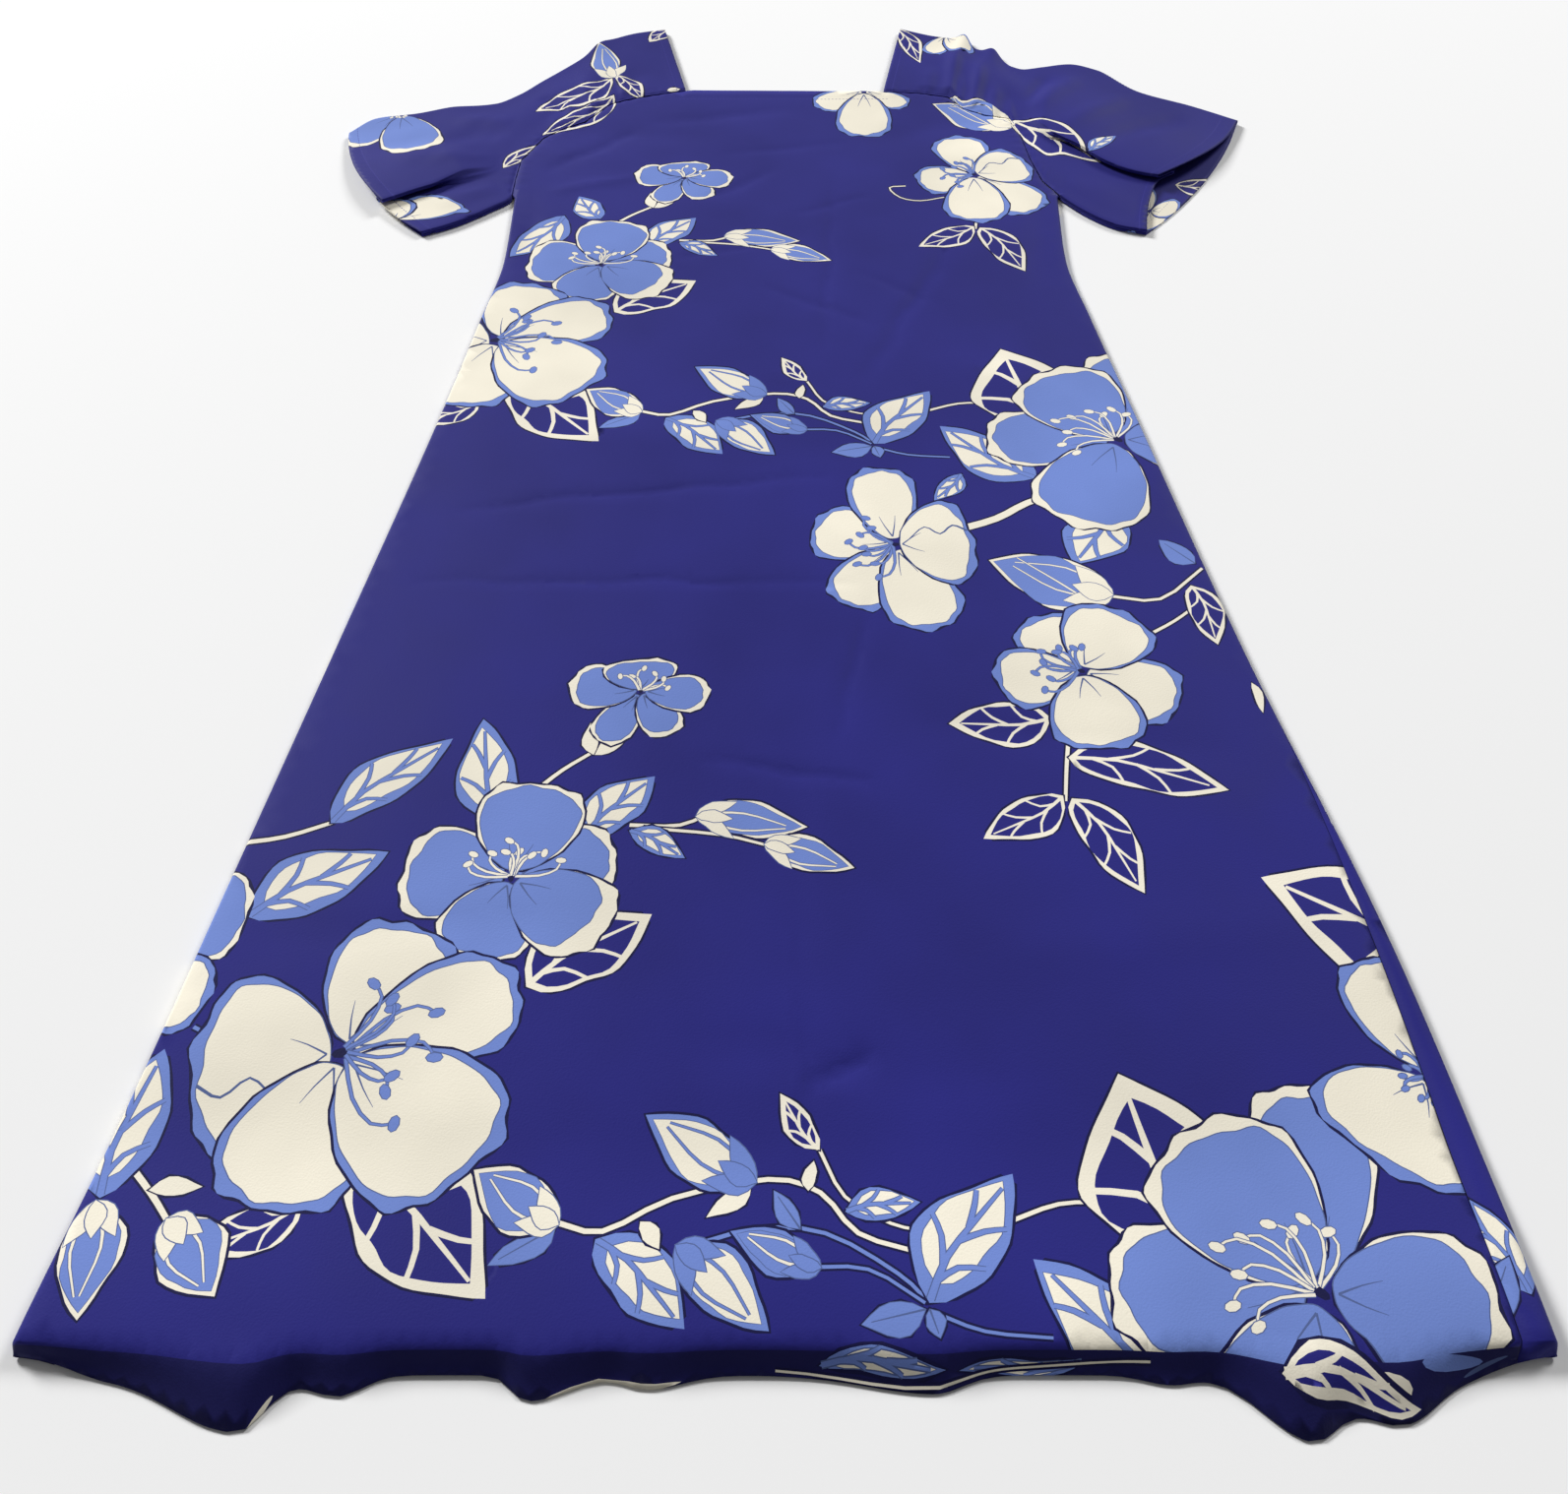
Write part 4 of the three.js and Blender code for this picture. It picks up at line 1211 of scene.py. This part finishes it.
cuffPetals = ((100, 60, 50), (165, 60, 44), (238, 70, 46, 5), (296, 86, 50, 6))
hiddenPetals = ((20, 52, 44), (92, 56, 48), (164, 52, 44), (236, 52, 44), (308, 56, 46))
leftParts = flower("blue", Vector((-376, 1166)), cuffPetals, 270, 10, 21)
leftParts += flower("white", Vector((-322, 944)), ((58, 60, 40), (98, 44, 26)), 60, 0, 22)
leftParts += drawEach(leaf, [
    ("outline", -172, 1232, -243, 1168, 36), ("outline", -168, 1238, -140, 1196, 22),
])
leftParts += drawEach(bud, [("blue", -170, 1236, -192, 1310, 28)])
leftParts += drawEach(leaf, [
    ("outline", -168, 1198, -232, 1124, 28), ("outline", -122, 1356, -141, 1320, 24),
    ("ivory", -117, 1214, -104, 1217, 7), ("outline", -262, 1062, -224, 1112, 17),
])
leftParts += flower("white", Vector((-330, 1330)), hiddenPetals, 30, 28, 23)
leftParts += drawEach(leaf, [("filled", -250, 1330, -196, 1392, 32)])
leftPiece, leftArea = sleevePiece("sleeveLeftCloth", "sleeve_left", sleeveLeft, leftParts)

shoulderPetals = ((110, 46, 30), (248, 46, 26), (292, 50, 26))
openPetals = ((186, 44, 34), (60, 44, 34), (-10, 46, 36), (-62, 48, 34))
rightParts = drawEach(leaf, [("outline", 222, 1152, 290, 1040, 42)])
rightParts += drawEach(bud, [("blue", 220, 1144, 147, 1188, 46)])
rightParts += drawEach(leaf, [
    ("filled", 288, 1080, 317, 1111, 17), ("outline", 118, 1352, 140, 1272, 22),
])
rightParts += flower("white", Vector((170, 1334)), shoulderPetals, 270, 0, 31)
rightParts += flower("white", Vector((514, 1352)), openPetals, 30, 0, 32)
rightParts += drawEach(leaf, [("outline", 492, 1300, 538, 1222, 30)])
rightParts += flower("blue", Vector((402, 1352)), hiddenPetals, 30, 28, 33)
rightParts += drawEach(leaf, [("filled", 300, 1366, 262, 1430, 30)])
rightPiece, rightArea = sleevePiece("sleeveRightCloth", "sleeve_right", sleeveRight, rightParts)

print("cloth laid out")

bpy.ops.mesh.primitive_plane_add(size=12, location=(0, 0, -0.0004))
floor = bpy.context.object
floor.name = "floor"
floorMaterial = bpy.data.materials.new("paleFloor")
floorMaterial.use_nodes = True
floorShader = floorMaterial.node_tree.nodes["Principled BSDF"]
floorShader.inputs["Base Color"].default_value = (0.93, 0.93, 0.93, 1)
floorShader.inputs["Roughness"].default_value = 0.9
floor.data.materials.append(floorMaterial)

studio = {
    "world": 0.15,
    "lamps": [
        {"name": "windowLeft", "at": (-10, 10, 7.6), "aim": (0, 0, 0), "size": 4, "power": 2930},
        {"name": "windowRight", "at": (9, 10.2, 9), "aim": (0, 0, 0), "size": 4.8, "power": 1330},
    ],
}
world = bpy.data.worlds.new("studio")
world.use_nodes = True
setInputs(world.node_tree.nodes["Background"], {"Color": (1, 1, 1, 1), "Strength": studio["world"]})
bpy.context.scene.world = world
for lamp in studio["lamps"]:
    data = bpy.data.lights.new(lamp["name"], "AREA")
    data.size = lamp["size"]
    data.energy = lamp["power"]
    light = bpy.data.objects.new(lamp["name"], data)
    light.location = lamp["at"]
    aim = Vector(lamp["aim"]) - Vector(lamp["at"])
    light.rotation_euler = aim.to_track_quat("-Z", "Y").to_euler()
    bpy.context.collection.objects.link(light)

# metres above the floor and behind the hem, degrees up from straight down, and a focal length
# of 1460 pixels in a picture that is 1593 pixels wide
sensor = 36
view = {"height": 0.688, "behind": 0.211, "pitch": 39.693, "lens": sensor * 1460 / 1593}
cameraData = bpy.data.cameras.new("camera")
cameraData.sensor_width = sensor
cameraData.sensor_fit = "HORIZONTAL"
cameraData.lens = view["lens"]
camera = bpy.data.objects.new("camera", cameraData)
camera.location = (originX / 1000, originY / 1000 - view["behind"], view["height"])
camera.rotation_euler = (math.radians(view["pitch"]), 0, 0)
bpy.context.collection.objects.link(camera)
bpy.context.scene.camera = camera
bpy.context.scene.view_settings.view_transform = "Standard"
print("studio ready")
